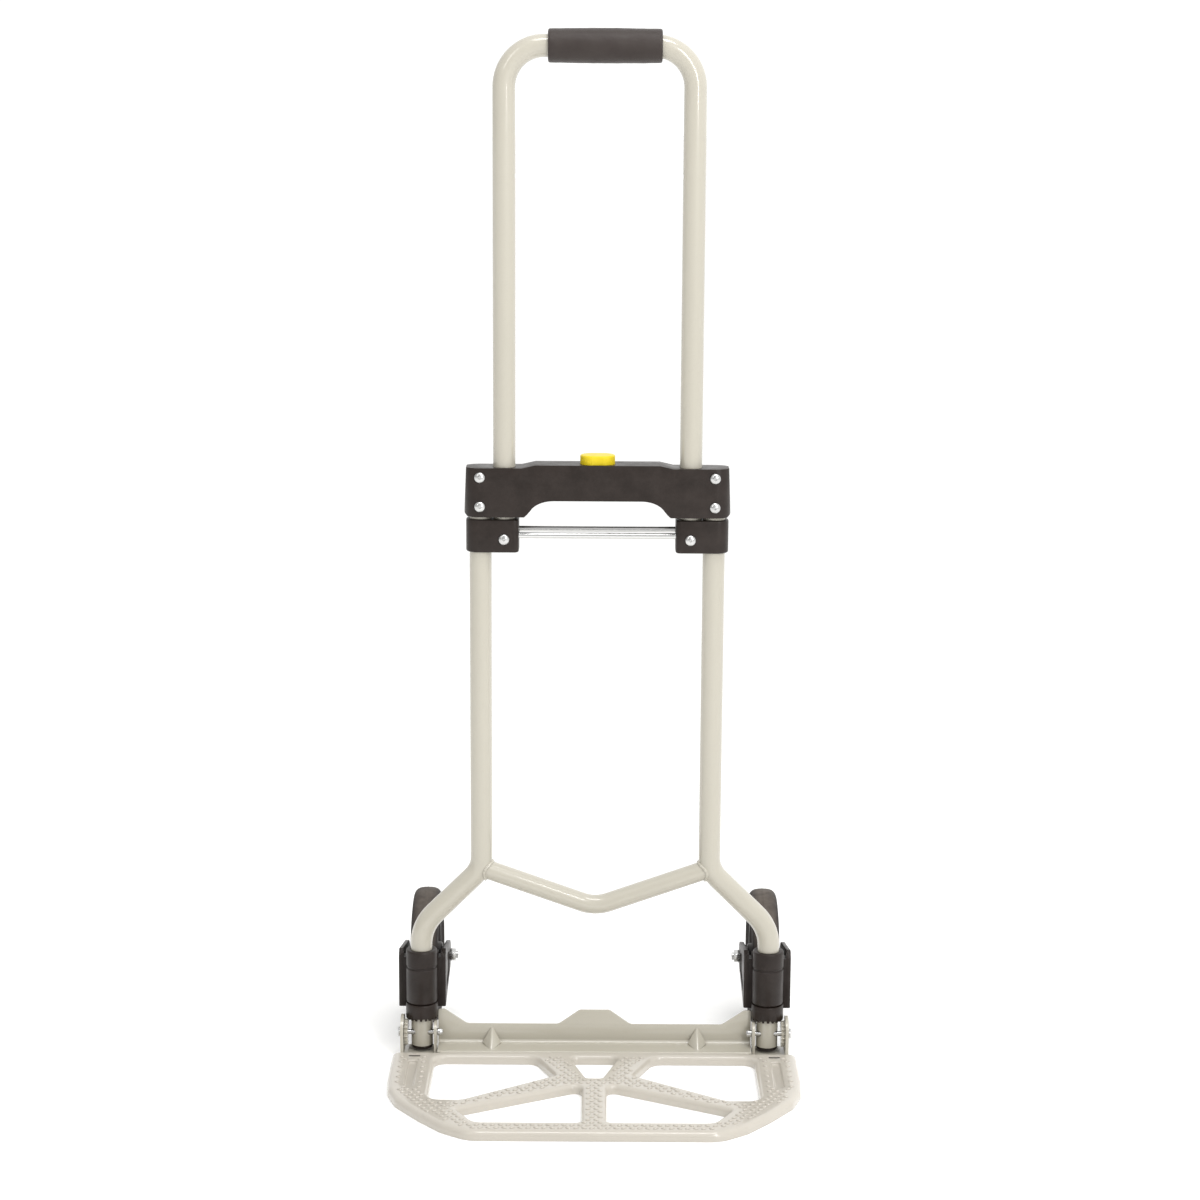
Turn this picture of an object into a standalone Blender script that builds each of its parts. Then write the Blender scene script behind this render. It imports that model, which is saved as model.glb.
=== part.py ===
"""Folding luggage cart.

A two-tube steel frame with a V crossbar carries a telescoping U handle, a
push-button clamp, a hinged toe plate and two wheels.  A gear on each toe-plate
hinge turns the wheel forks inwards while the plate folds up.

Units are metres.  +X is to the right, -Y is the front (the toe plate side) and
+Z is up.  Sizes below are in millimetres and are turned to metres by MM.
"""
import bpy
import bmesh
from math import sin, cos, pi, radians, sqrt, atan2, hypot
from mathutils import Vector, Matrix

MM = 0.001

# ---------------------------------------------------------------- dimensions
DATUM_Y = 32.1          # the tube plane stands this far behind the base centre
GAP = 0.3               # gap between faces that touch on the real cart

TUBE_R = 10.8           # handle and frame tubes, outer radius
TUBE_WALL = 1.4
BORE_R = 11.15          # running bore for a tube

HANDLE_X = 89.8         # handle leg centre
HANDLE_TOP = 991.6      # centre of the top bar
HANDLE_BEND = 38.0
HANDLE_FOOT = 517.5     # lower end of the legs
GRIP_X = 5.0
GRIP_LEN = 107.0
GRIP_R = 16.2
GRIP_BORE = 11.9
LOCK_Z = 580.0          # lock pins
HOLE_Z = (871.0, 580.0)

FRAME_X = 112.8         # upper frame tube centre
FRAME_TOP = 590.0
STUB_X = 173.0          # lower stub centre, the fork's steering axis
KNEE_Z = 192.0          # upper and lower bends of the frame tube
ELBOW_Z = 132.0
KNEE_R = 30.0
ELBOW_R = 45.0
FRAME_FOOT = 9.0

CROSS_R = 9.5           # V crossbar
CROSS_MID_Z = 153.0
CROSS_END_Z = 193.0

CLAMP_Z0, CLAMP_Z1 = 547.5, 595.0
CLAMP_MID_Z1 = 598.0
CLAMP_HALF_Y = 15.5
SLIDER_Z0, SLIDER_Z1 = 512.5, 544.8
SLIDER_X0, SLIDER_X1 = 75.5, 126.7
SLIDER_HALF_Y = 13.5

HINGE_Y, HINGE_Z = -6.0, 23.0   # toe-plate hinge axis
PLATE_Z = 9.0           # deck top
PLATE_T = 1.8
FLANGE_Y = 4.0

AXLE_Y, AXLE_Z = 93.0, 70.0
WHEEL_R = 70.0
WHEEL_W = 30.0
ARM_X0, ARM_X1 = 19.0, 23.5     # fork arms, from the steering axis

CROWN_Z0, CROWN_Z1 = 36.5, 56.2
CROWN_R = 16.0
GEAR_R = 13.1
SLEEVE_Z1 = 108.5
SLEEVE_R = 15.5

# ---------------------------------------------------------------- clean scene
for o in list(bpy.data.objects):
    bpy.data.objects.remove(o, do_unlink=True)

CART = bpy.data.collections.new("folding_luggage_cart")
CUTS = bpy.data.collections.new("cutters")
bpy.context.scene.collection.children.link(CART)
bpy.context.scene.collection.children.link(CUTS)


# ---------------------------------------------------------------- materials
def material(name, color, rough, metal):
    m = bpy.data.materials.new(name)
    m.use_nodes = True
    b = m.node_tree.nodes["Principled BSDF"]
    b.inputs["Base Color"].default_value = (*color, 1.0)
    b.inputs["Roughness"].default_value = rough
    b.inputs["Metallic"].default_value = metal
    m.diffuse_color = (*color, 1.0)
    return m


PAINT = dict(color=(0.56, 0.55, 0.49), rough=0.35, metal=0.1)
BLACK = dict(color=(0.045, 0.038, 0.036), rough=0.5, metal=0.0)
FOAM = dict(color=(0.05, 0.046, 0.044), rough=0.85, metal=0.0)
STEEL = dict(color=(0.72, 0.72, 0.71), rough=0.25, metal=1.0)
YELLOW = dict(color=(0.85, 0.66, 0.02), rough=0.4, metal=0.0)
TYRE = dict(color=(0.03, 0.028, 0.028), rough=0.8, metal=0.0)

# ---------------------------------------------------------------- datum empties
DATUM = bpy.data.objects.new("cart_datum", None)
DATUM.location = (0, DATUM_Y * MM, 0)
CART.objects.link(DATUM)


def empty(name, loc, parent=None):
    e = bpy.data.objects.new(name, None)
    e.location = Vector(loc) * MM
    e.parent = parent or DATUM
    CART.objects.link(e)
    return e


HANDLE_AXIS = empty("handle_slide_axis", (0, 0, HANDLE_TOP))
BUTTON_AXIS = empty("button_axis", (0, 0, CLAMP_MID_Z1))
HINGE_AXIS = empty("toe_plate_hinge_axis", (0, HINGE_Y, HINGE_Z))
STEER = {s: empty("fork_axis_" + n, (s * STUB_X, 0, 0)) for s, n in ((-1, "left"), (1, "right"))}
SPIN = {s: empty("wheel_axis_" + n, (0, AXLE_Y, AXLE_Z), STEER[s]) for s, n in ((-1, "left"), (1, "right"))}
OFFSET = {None: Vector((0, 0, 0)), HANDLE_AXIS: Vector((0, 0, HANDLE_TOP)),
          BUTTON_AXIS: Vector((0, 0, CLAMP_MID_Z1)), HINGE_AXIS: Vector((0, HINGE_Y, HINGE_Z)),
          STEER[-1]: Vector((-STUB_X, 0, 0)), STEER[1]: Vector((STUB_X, 0, 0)),
          SPIN[-1]: Vector((-STUB_X, AXLE_Y, AXLE_Z)), SPIN[1]: Vector((STUB_X, AXLE_Y, AXLE_Z))}


# ---------------------------------------------------------------- helpers
def link(obj, cutter=False):
    (CUTS if cutter else CART).objects.link(obj)
    obj.parent = DATUM
    if cutter:
        obj.hide_render = True
        obj.display_type = "WIRE"
    return obj


def finish(obj, name, look, axis=None, smooth=True):
    """Name a piece, give it its own material and hang it from its axis."""
    obj.name = name
    obj.data.name = name
    obj.data.materials.clear()
    obj.data.materials.append(material(name + "_mat", **look))
    obj.parent = axis or DATUM
    obj.location = Vector(obj.location) - OFFSET[axis] * MM
    if smooth and obj.type == "MESH":
        obj.data.shade_smooth()
        obj.data.set_sharp_from_angle(angle=radians(35))
    return obj


def mesh_object(bm, cutter=False, name="piece"):
    me = bpy.data.meshes.new(name)
    bm.to_mesh(me)
    bm.free()
    return link(bpy.data.objects.new(name, me), cutter)


def box(lo, hi, cutter=False, bevel=0.0):
    bm = bmesh.new()
    bmesh.ops.create_cube(bm, size=1.0)
    lo, hi = Vector(lo) * MM, Vector(hi) * MM
    size, mid = hi - lo, (hi + lo) / 2
    for v in bm.verts:
        v.co = Vector((v.co.x * size.x, v.co.y * size.y, v.co.z * size.z))
    if bevel:
        bmesh.ops.bevel(bm, geom=bm.edges[:], offset=bevel * MM, segments=2, profile=0.5, affect="EDGES")
    o = mesh_object(bm, cutter)
    o.location = mid
    return o


def cylinder(r, a, b, sides=24, cutter=False, turn=0.0):
    """Closed cylinder of radius r from point a to point b (mm)."""
    a, b = Vector(a), Vector(b)
    d = b - a
    bm = bmesh.new()
    bmesh.ops.create_cone(bm, cap_ends=True, cap_tris=False, segments=sides,
                          radius1=r * MM, radius2=r * MM, depth=d.length * MM)
    o = mesh_object(bm, cutter)
    q = d.to_track_quat("Z", "Y").to_matrix().to_4x4() @ Matrix.Rotation(turn, 4, "Z")
    o.data.transform(q)
    o.location = (a + b) / 2 * MM
    return o


def turned(profile, steps=32, cutter=False, axis="Z", at=(0, 0, 0)):
    """Turn a profile of (radius, height) points about a local axis."""
    bm = bmesh.new()
    vs = [bm.verts.new((r * MM, 0, z * MM)) for r, z in profile]
    for a, b in zip(vs, vs[1:]):
        bm.edges.new((a, b))
    if profile[0][0] > 0 and profile[-1][0] > 0:
        bm.edges.new((vs[-1], vs[0]))
    o = mesh_object(bm, cutter)
    s = o.modifiers.new("turn", "SCREW")
    s.steps = s.render_steps = steps
    s.use_merge_vertices = True
    s.merge_threshold = 0.00002
    s.use_smooth_shade = True
    s.use_normal_calculate = False
    dg = bpy.context.evaluated_depsgraph_get()
    me = bpy.data.meshes.new_from_object(o.evaluated_get(dg))
    o.modifiers.clear()
    o.data = me
    if axis == "X":
        o.data.transform(Matrix.Rotation(pi / 2, 4, "Y"))
    if axis == "Y":
        o.data.transform(Matrix.Rotation(-pi / 2, 4, "X"))
    o.location = Vector(at) * MM
    return o


def outline(points, z0, z1, cutter=False, plane="XY", holes=()):
    """Extrude a flat outline.  plane names the outline's own two axes."""
    cu = bpy.data.curves.new("outline", "CURVE")
    cu.dimensions = "2D"
    cu.fill_mode = "BOTH"
    for ring in (points, *holes):
        sp = cu.splines.new("POLY")
        sp.points.add(len(ring) - 1)
        for p, (x, y) in zip(sp.points, ring):
            p.co = (x * MM, y * MM, 0, 1)
        sp.use_cyclic_u = True
    cu.extrude = abs(z1 - z0) / 2 * MM
    tmp = bpy.data.objects.new("outline", cu)
    bpy.context.scene.collection.objects.link(tmp)
    bpy.context.view_layer.update()
    dg = bpy.context.evaluated_depsgraph_get()
    me = bpy.data.meshes.new_from_object(tmp.evaluated_get(dg))
    bpy.data.objects.remove(tmp, do_unlink=True)
    bm = bmesh.new()
    bm.from_mesh(me)
    bmesh.ops.remove_doubles(bm, verts=bm.verts, dist=1e-6)
    bmesh.ops.recalc_face_normals(bm, faces=bm.faces)
    bmesh.ops.translate(bm, verts=bm.verts, vec=(0, 0, (z0 + z1) / 2 * MM))
    if plane == "XZ":
        bmesh.ops.transform(bm, verts=bm.verts, matrix=Matrix.Rotation(pi / 2, 4, "X"))
    if plane == "YZ":
        bmesh.ops.transform(bm, verts=bm.verts, matrix=Matrix(((0, 0, 1, 0), (1, 0, 0, 0), (0, 1, 0, 0), (0, 0, 0, 1))))
    bmesh.ops.dissolve_limit(bm, angle_limit=0.001, verts=bm.verts, edges=bm.edges)
    return mesh_object(bm, cutter)


def rounded(points, radii, seg=5):
    """Round the corners of a polyline in 2D or 3D; ends keep their place."""
    out = [Vector(points[0])]
    for i in range(1, len(points) - 1):
        out += corner(points[i - 1], points[i], points[i + 1], radii[i - 1], seg)
    out.append(Vector(points[-1]))
    return out


def corner(a, b, c, r, seg):
    a, b, c = Vector(a), Vector(b), Vector(c)
    u, v = (a - b).normalized(), (c - b).normalized()
    half = u.angle(v) / 2
    if r <= 0:
        return [b]
    t = r / (sin(half) / cos(half))
    mid = b + (u + v).normalized() * (r / sin(half))
    p, q = b + u * t - mid, b + v * t - mid
    n = p.angle(q)
    return [mid + (p * sin((1 - k / seg) * n) + q * sin(k / seg * n)) / sin(n) for k in range(seg + 1)]


def rounded_ring(points, r, seg=4):
    n = len(points)
    rr = r if isinstance(r, (list, tuple)) else [r] * n
    out = []
    for i in range(n):
        out += corner(points[i - 1], points[i], points[(i + 1) % n], rr[i], seg)
    return [tuple(p) for p in out]


def pipe(points, r, wall=0.0, sides=4, caps=False, cutter=False):
    """Round bar or open tube along points (mm); sides is the bevel resolution."""
    cu = bpy.data.curves.new("pipe", "CURVE")
    cu.dimensions = "3D"
    cu.bevel_depth = r * MM
    cu.bevel_resolution = sides
    cu.use_fill_caps = caps
    cu.resolution_u = 1
    cu.render_resolution_u = 0
    sp = cu.splines.new("POLY")
    sp.points.add(len(points) - 1)
    for p, co in zip(sp.points, points):
        p.co = (*(Vector(co) * MM), 1)
    tmp = bpy.data.objects.new("pipe", cu)
    bpy.context.scene.collection.objects.link(tmp)
    bpy.context.view_layer.update()
    dg = bpy.context.evaluated_depsgraph_get()
    me = bpy.data.meshes.new_from_object(tmp.evaluated_get(dg))
    bpy.data.objects.remove(tmp, do_unlink=True)
    bm = bmesh.new()
    bm.from_mesh(me)
    bmesh.ops.remove_doubles(bm, verts=bm.verts, dist=1e-6)
    if caps:
        bmesh.ops.recalc_face_normals(bm, faces=bm.faces)
    o = mesh_object(bm, cutter)
    if wall:
        s = o.modifiers.new("wall", "SOLIDIFY")
        s.thickness = wall * MM
        s.offset = -1.0
        s.use_even_offset = True
    return o


def boolean(obj, other, op="DIFFERENCE"):
    m = obj.modifiers.new(op.lower(), "BOOLEAN")
    m.operation = op
    m.solver = "EXACT"
    m.object = other
    return obj


def bake(obj):
    """Turn the modifiers so far into plain mesh."""
    bpy.context.view_layer.update()
    dg = bpy.context.evaluated_depsgraph_get()
    me = bpy.data.meshes.new_from_object(obj.evaluated_get(dg))
    obj.modifiers.clear()
    obj.data = me
    return obj


def cut(obj, *cutters):
    for c in cutters:
        boolean(obj, c)
    return obj


def drop(obj):
    """Move a helper solid from the cart to the cutters."""
    CART.objects.unlink(obj)
    return link(obj, True)


# ---------------------------------------------------------------- frame tubes
def frame_path(s, top=FRAME_TOP, foot=FRAME_FOOT):
    pts = [(s * FRAME_X, 0, top), (s * FRAME_X, 0, KNEE_Z), (s * STUB_X, 0, ELBOW_Z), (s * STUB_X, 0, foot)]
    return rounded(pts, (KNEE_R, ELBOW_R), 4)


CLAMP_SCREW_Z = (586.0, 557.7)
for s, side in ((-1, "left"), (1, "right")):
    t = pipe(frame_path(s), TUBE_R, TUBE_WALL)
    cut(t, cylinder(2.9, (s * (STUB_X - 14), HINGE_Y, HINGE_Z), (s * (STUB_X + 14), HINGE_Y, HINGE_Z), 12, True),
        *[cylinder(2.3, (s * FRAME_X, -16, z), (s * FRAME_X, -4, z), 10, True) for z in CLAMP_SCREW_Z])
    finish(t, "frame_tube_" + side, PAINT)
    p = turned([(0, FRAME_FOOT + 5), (TUBE_R - TUBE_WALL - 0.4, FRAME_FOOT + 5), (TUBE_R - TUBE_WALL - 0.4, FRAME_FOOT - GAP),
                (TUBE_R, FRAME_FOOT - GAP), (TUBE_R, FRAME_FOOT - 2.6), (TUBE_R - 1.2, FRAME_FOOT - 3.8), (0, FRAME_FOOT - 3.8)],
               16, at=(s * STUB_X, 0, 0))
    finish(p, "tube_plug_" + side, BLACK)

cross_pts = rounded([(-FRAME_X, 0, CROSS_END_Z), (0, 0, CROSS_MID_Z), (FRAME_X, 0, CROSS_END_Z)], (40,), 6)
cross = pipe(cross_pts, CROSS_R, TUBE_WALL)
for s in (-1, 1):
    boolean(cross, pipe(frame_path(s, 260, 100), TUBE_R + GAP, caps=True, cutter=True))
finish(cross, "crossbar", PAINT)

# ---------------------------------------------------------------- handle
hp = [(-HANDLE_X, 0, HANDLE_FOOT), (-HANDLE_X, 0, HANDLE_TOP), (HANDLE_X, 0, HANDLE_TOP), (HANDLE_X, 0, HANDLE_FOOT)]
handle = pipe(rounded(hp, (HANDLE_BEND, HANDLE_BEND), 5), TUBE_R, TUBE_WALL)
for s in (-1, 1):
    for z in HOLE_Z:
        boolean(handle, cylinder(3.4, (s * (HANDLE_X - 13), 0, z), (s * (HANDLE_X - 5), 0, z), 12, True))
    boolean(handle, cylinder(2.3, (s * HANDLE_X, -14, 525.6), (s * HANDLE_X, -4, 525.6), 10, True))
finish(handle, "handle_tube", PAINT, HANDLE_AXIS)

h = GRIP_LEN / 2
grip = turned([(GRIP_BORE, h), (GRIP_R - 2.0, h), (GRIP_R, h - 2.0), (GRIP_R, -h + 2.0),
               (GRIP_R - 2.0, -h), (GRIP_BORE, -h)], 24, axis="X", at=(GRIP_X, 0, HANDLE_TOP))
finish(grip, "handle_grip", FOAM, HANDLE_AXIS)


def screw(name, at, head_r, head_h, shank_r, shank_len, axis, direction=-1):
    """Round-headed screw along Y; the head's underside is at the given point."""
    prof = [(0, head_h), (head_r * 0.7, head_h * 0.75), (head_r, 0.0), (shank_r, 0.0), (shank_r, -shank_len), (0, -shank_len)]
    o = turned(prof, 12, axis="Y", at=at)
    if direction < 0:
        o.data.transform(Matrix.Rotation(pi, 4, "Z"))
    return finish(o, name, STEEL, axis)


# sliders on the handle's feet
SLIDER_SCREW_X = 89.3
for s, side in ((-1, "left"), (1, "right")):
    x0, x1 = s * SLIDER_X0, s * SLIDER_X1
    ring = rounded_ring([(x0, -SLIDER_HALF_Y), (x1, -SLIDER_HALF_Y), (x1, SLIDER_HALF_Y), (x0, SLIDER_HALF_Y)],
                        [5, 12, 12, 5], 3)
    sl = outline(ring, SLIDER_Z0, SLIDER_Z1)
    b = sl.modifiers.new("edge", "BEVEL")
    b.width = 1.0 * MM
    b.segments = 1
    b.limit_method = "ANGLE"
    b.angle_limit = radians(60)
    cut(sl, cylinder(BORE_R, (s * FRAME_X, 0, SLIDER_Z0 - 5), (s * FRAME_X, 0, SLIDER_Z1 + 5), 24, True),
        cylinder(BORE_R, (s * HANDLE_X, 0, HANDLE_FOOT - GAP), (s * HANDLE_X, 0, SLIDER_Z1 + 5), 24, True),
        cylinder(3.3, (s * (SLIDER_X0 - 3), -6, 528.5), (s * (SLIDER_X0 + 2.2), -6, 528.5), 12, True),
        cylinder(3.3, (s * (SLIDER_X0 - 3), 6, 533.0), (s * (SLIDER_X0 + 2.2), 6, 533.0), 12, True),
        cylinder(2.3, (s * HANDLE_X, -16, 525.6), (s * HANDLE_X, -8, 525.6), 10, True))
    finish(sl, "slider_" + side, BLACK, HANDLE_AXIS)
    screw("slider_screw_" + side, (s * HANDLE_X, -SLIDER_HALF_Y - GAP, 525.6), 5.3, 3.0, 2.0, 7.5, HANDLE_AXIS)
for nm, y, z in (("guide_rod_front", -6, 528.5), ("guide_rod_rear", 6, 533.0)):
    r = cylinder(3.0, (-SLIDER_X0 - 1.7, y, z), (SLIDER_X0 + 1.7, y, z), 12)
    finish(r, nm, STEEL, HANDLE_AXIS)

# ---------------------------------------------------------------- clamp housing
half = [(128.3, CLAMP_Z0 + 3), (126.3, CLAMP_Z1), (73, CLAMP_Z1), (60, CLAMP_MID_Z1)]
arch = [(69.5, CLAMP_Z0)] + [(42 + 24 * cos(t), CLAMP_Z0 + 1.0 + 15 * sin(t)) for t in [radians(a) for a in (8, 35, 62, 90)]]
right = half + [(-x, z) for x, z in reversed(half)]
under = [(-125, CLAMP_Z0)] + [(-x, z) for x, z in arch] + list(reversed(arch)) + [(125, CLAMP_Z0)]
clamp = outline(right + under, -CLAMP_HALF_Y, CLAMP_HALF_Y, plane="XZ")
stadium = []
for k in range(9):
    a = -pi / 2 + pi * k / 8
    stadium.append((FRAME_X + CLAMP_HALF_Y * cos(a), CLAMP_HALF_Y * sin(a)))
for k in range(9):
    a = pi / 2 + pi * k / 8
    stadium.append((-FRAME_X + CLAMP_HALF_Y * cos(a), CLAMP_HALF_Y * sin(a)))
boolean(clamp, outline(stadium, CLAMP_Z0 - 5, CLAMP_MID_Z1 + 5, cutter=True), "INTERSECT")
bake(clamp)
b = clamp.modifiers.new("edge", "BEVEL")
b.width = 1.2 * MM
b.segments = 1
b.limit_method = "ANGLE"
b.angle_limit = radians(50)
BUTTON_A, BUTTON_B = 16.8, 12.0      # button half length and half depth


def oval(a, b, r=None, seg=5):
    r = r or b
    return rounded_ring([(-a, -b), (a, -b), (a, b), (-a, b)], r - 0.01, seg)


for s in (-1, 1):
    cut(clamp, cylinder(BORE_R, (s * FRAME_X, 0, CLAMP_Z0 - 5), (s * FRAME_X, 0, FRAME_TOP + GAP), 24, True),
        cylinder(BORE_R, (s * HANDLE_X, 0, CLAMP_Z0 - 5), (s * HANDLE_X, 0, CLAMP_MID_Z1 + 5), 24, True),
        cylinder(3.3, (s * 20, 0, LOCK_Z), (s * 81, 0, LOCK_Z), 12, True),
        *[cylinder(2.3, (s * FRAME_X, -18, z), (s * FRAME_X, -8, z), 10, True) for z in CLAMP_SCREW_Z])
cut(clamp, outline(oval(BUTTON_A + 0.4, BUTTON_B + 0.4), 569.0, CLAMP_MID_Z1 + 5, cutter=True),
    box((-26, -4.2, 574.5), (26, 4.2, 585.5), True))
finish(clamp, "clamp_housing", BLACK)
n = 0
for s, side in ((-1, "left"), (1, "right")):
    for z, lev in zip(CLAMP_SCREW_Z, ("upper", "lower")):
        screw("clamp_screw_%s_%s" % (lev, side), (s * FRAME_X, -CLAMP_HALF_Y - GAP, z), 5.2, 3.0, 2.0, 8.5, None)

# push button, lock pins and spring
btn = outline(oval(BUTTON_A, BUTTON_B), 589.0, 606.8)
b = btn.modifiers.new("edge", "BEVEL")
b.width = 1.2 * MM
b.segments = 2
b.limit_method = "ANGLE"
b.angle_limit = radians(60)
cut(btn, cylinder(6.2, (0, 0, 588), (0, 0, 600), 16, True))
finish(btn, "release_button", YELLOW, BUTTON_AXIS)
for s, side in ((-1, "left"), (1, "right")):
    ax = empty("lock_pin_axis_" + side, (s * 50, 0, LOCK_Z))
    OFFSET[ax] = Vector((s * 50, 0, LOCK_Z))
    pin = cylinder(2.9, (s * 22.5, 0, LOCK_Z), (s * (HANDLE_X - TUBE_R - 0.5), 0, LOCK_Z), 12)
    finish(pin, "lock_pin_" + side, STEEL, ax)
turns, wire, coil_r, z0, z1, n = 4, 0.6, 4.4, 569.4, 599.6, 36
pts = [(coil_r * cos(2 * pi * turns * k / n), coil_r * sin(2 * pi * turns * k / n), z0 + wire + (z1 - z0 - 2 * wire) * k / n)
       for k in range(n + 1)]
finish(pipe(pts, wire, sides=0, caps=True), "button_spring", STEEL)

# ---------------------------------------------------------------- toe plate
edge = [(118, -227.2), (143, -209), (165.5, -182), (190, -147), (199, -120), (201, -95), (201, -22.4),
        (157.2, -22.4), (157.2, FLANGE_Y)]
ring = [(-x, y) for x, y in reversed(edge)] + edge
radii = [0, 0, 6, 0, 0, 0, 0, 0, 0, 0, 0, 0, 0, 0, 0, 6, 0, 0]
ring = [tuple(p) for i in range(len(ring)) for p in corner(ring[i - 1], ring[i], ring[(i + 1) % len(ring)], radii[i], 3)]


def mirror(pts):
    return [(-x, y) for x, y in reversed(pts)]


rear_hole = rounded_ring([(-158.5, -35), (-58, -35), (-38, -83), (-127, -146), (-158.5, -146)], [12, 14, 5, 14, 12], 3)
front_hole = rounded_ring([(-12, -107), (-12, -201), (-112, -201), (-130, -170)], [7, 6, 12, 3], 3)
mid_hole = rounded_ring([(-24, -34.5), (24, -34.5), (7, -90), (-7, -90)], [6, 6, 4, 4], 3)
holes = [rear_hole, mirror(rear_hole), front_hole, mirror(front_hole), mid_hole]

cu = bpy.data.curves.new("deck", "CURVE")
cu.dimensions = "2D"
cu.fill_mode = "BOTH"
for loop in [ring] + holes:
    sp = cu.splines.new("POLY")
    sp.points.add(len(loop) - 1)
    for p, (x, y) in zip(sp.points, loop):
        p.co = (x * MM, y * MM, 0, 1)
    sp.use_cyclic_u = True
tmp = bpy.data.objects.new("deck", cu)
bpy.context.scene.collection.objects.link(tmp)
bpy.context.view_layer.update()
me = bpy.data.meshes.new_from_object(tmp.evaluated_get(bpy.context.evaluated_depsgraph_get()))
bpy.data.objects.remove(tmp, do_unlink=True)
bm = bmesh.new()
bm.from_mesh(me)
bmesh.ops.remove_doubles(bm, verts=bm.verts, dist=1e-6)
for f in bm.faces:
    if f.normal.z < 0:
        f.normal_flip()
for v in bm.verts:
    v.co.z = PLATE_Z * MM
rim = [e for e in bm.edges if e.is_boundary]
crease = [e for e in rim if all(abs(v.co.y - FLANGE_Y * MM) < 1e-6 for v in e.verts)]
lips = [e for e in rim if e not in crease]
low = bmesh.ops.extrude_edge_only(bm, edges=lips)
for v in [g for g in low["geom"] if isinstance(g, bmesh.types.BMVert)]:
    v.co.z = 0.0
bmesh.ops.recalc_face_normals(bm, faces=bm.faces)
if sum(f.normal.z for f in bm.faces) < 0:
    bmesh.ops.reverse_faces(bm, faces=bm.faces)
plate = mesh_object(bm)
s_ = plate.modifiers.new("sheet", "SOLIDIFY")
s_.thickness = PLATE_T * MM
s_.offset = -1.0
s_.use_even_offset = True
bake(plate)
# upright rear flange with its dips over the folded wheels
fl = [(-156.9, 7.6), (156.9, 7.6), (156.9, 43.5), (150, 43.5), (128, 28.5), (36, 28.5), (15, 43.5),
      (-15, 43.5), (-36, 28.5), (-128, 28.5), (-150, 43.5), (-156.9, 43.5)]
flr = rounded_ring(fl, [0, 0, 2, 4, 8, 8, 4, 4, 8, 8, 4, 2], 3)
flange = outline(flr, -FLANGE_Y - 1.2, -FLANGE_Y + 0.8, plane="XZ")
drop(flange)
boolean(plate, flange, "UNION")
# pressed darts that stiffen the crease
for s in (-1, 1):
    dart = outline([(FLANGE_Y + 0.4, 8.2), (FLANGE_Y + 0.4, 21), (-15, 8.2)], s * 103 - 3.2, s * 103 + 3.2, plane="YZ", cutter=True)
    boolean(plate, dart, "UNION")
finish(plate, "toe_plate", PAINT, HINGE_AXIS)


def arc(cy, cz, r, a0, a1, n):
    return [(cy + r * cos(radians(a0 + (a1 - a0) * k / n)), cz + r * sin(radians(a0 + (a1 - a0) * k / n))) for k in range(n + 1)]


for s, side in ((-1, "left"), (1, "right")):
    base = box((min(s * 157.5, s * 193.5), -22, 0.0), (max(s * 157.5, s * 193.5), 12, 3))
    outer = outline([(-22, 0), (12, 0)] + arc(HINGE_Y, HINGE_Z, 18, -12, 150, 8), min(s * 190.5, s * 193.5), max(s * 190.5, s * 193.5), plane="YZ")
    inner = outline([(-13.5, 0), (12, 0)] + arc(HINGE_Y, HINGE_Z, 12, -18, 150, 8), min(s * 157.5, s * 160.5), max(s * 157.5, s * 160.5), plane="YZ")
    for o in (outer, inner):
        drop(o)
        boolean(base, o, "UNION")
    cut(base, cylinder(2.85, (s * 150, HINGE_Y, HINGE_Z), (s * 200, HINGE_Y, HINGE_Z), 12, True))
    finish(base, "hinge_bracket_" + side, PAINT, HINGE_AXIS)
    # toothed hinge gear that turns the crown on the fork
    teeth = []
    for k in range(10):
        for da, r in ((-10, GEAR_R - 2.6), (-4, GEAR_R), (4, GEAR_R), (10, GEAR_R - 2.6)):
            a = radians(90 + k * 36 + 18 + da)
            teeth.append((HINGE_Y + r * cos(a), HINGE_Z + r * sin(a)))
    g = outline(teeth, min(s * 190.2, s * 186.6), max(s * 190.2, s * 186.6), plane="YZ")
    cut(g, cylinder(2.85, (s * 180, HINGE_Y, HINGE_Z), (s * 200, HINGE_Y, HINGE_Z), 12, True))
    finish(g, "hinge_gear_" + side, PAINT, HINGE_AXIS)
    pin = turned([(0, 6), (2.2, 5.6), (3.6, 4.2), (3.6, 0), (2.5, 0), (2.5, -36.7), (0, -36.7)], 12, axis="X", at=(-157.2, HINGE_Y, HINGE_Z))
    if s > 0:
        pin.data.transform(Matrix.Rotation(pi, 4, "Z"))
        pin.location.x = 157.2 * MM
    finish(pin, "hinge_pin_" + side, STEEL, HINGE_AXIS)
    nut = cylinder(5.2, (s * 193.8, HINGE_Y, HINGE_Z), (s * 196.9, HINGE_Y, HINGE_Z), 6)
    cut(nut, cylinder(2.85, (s * 190, HINGE_Y, HINGE_Z), (s * 200, HINGE_Y, HINGE_Z), 16, True))
    finish(nut, "hinge_nut_" + side, STEEL, HINGE_AXIS, smooth=False)

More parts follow.
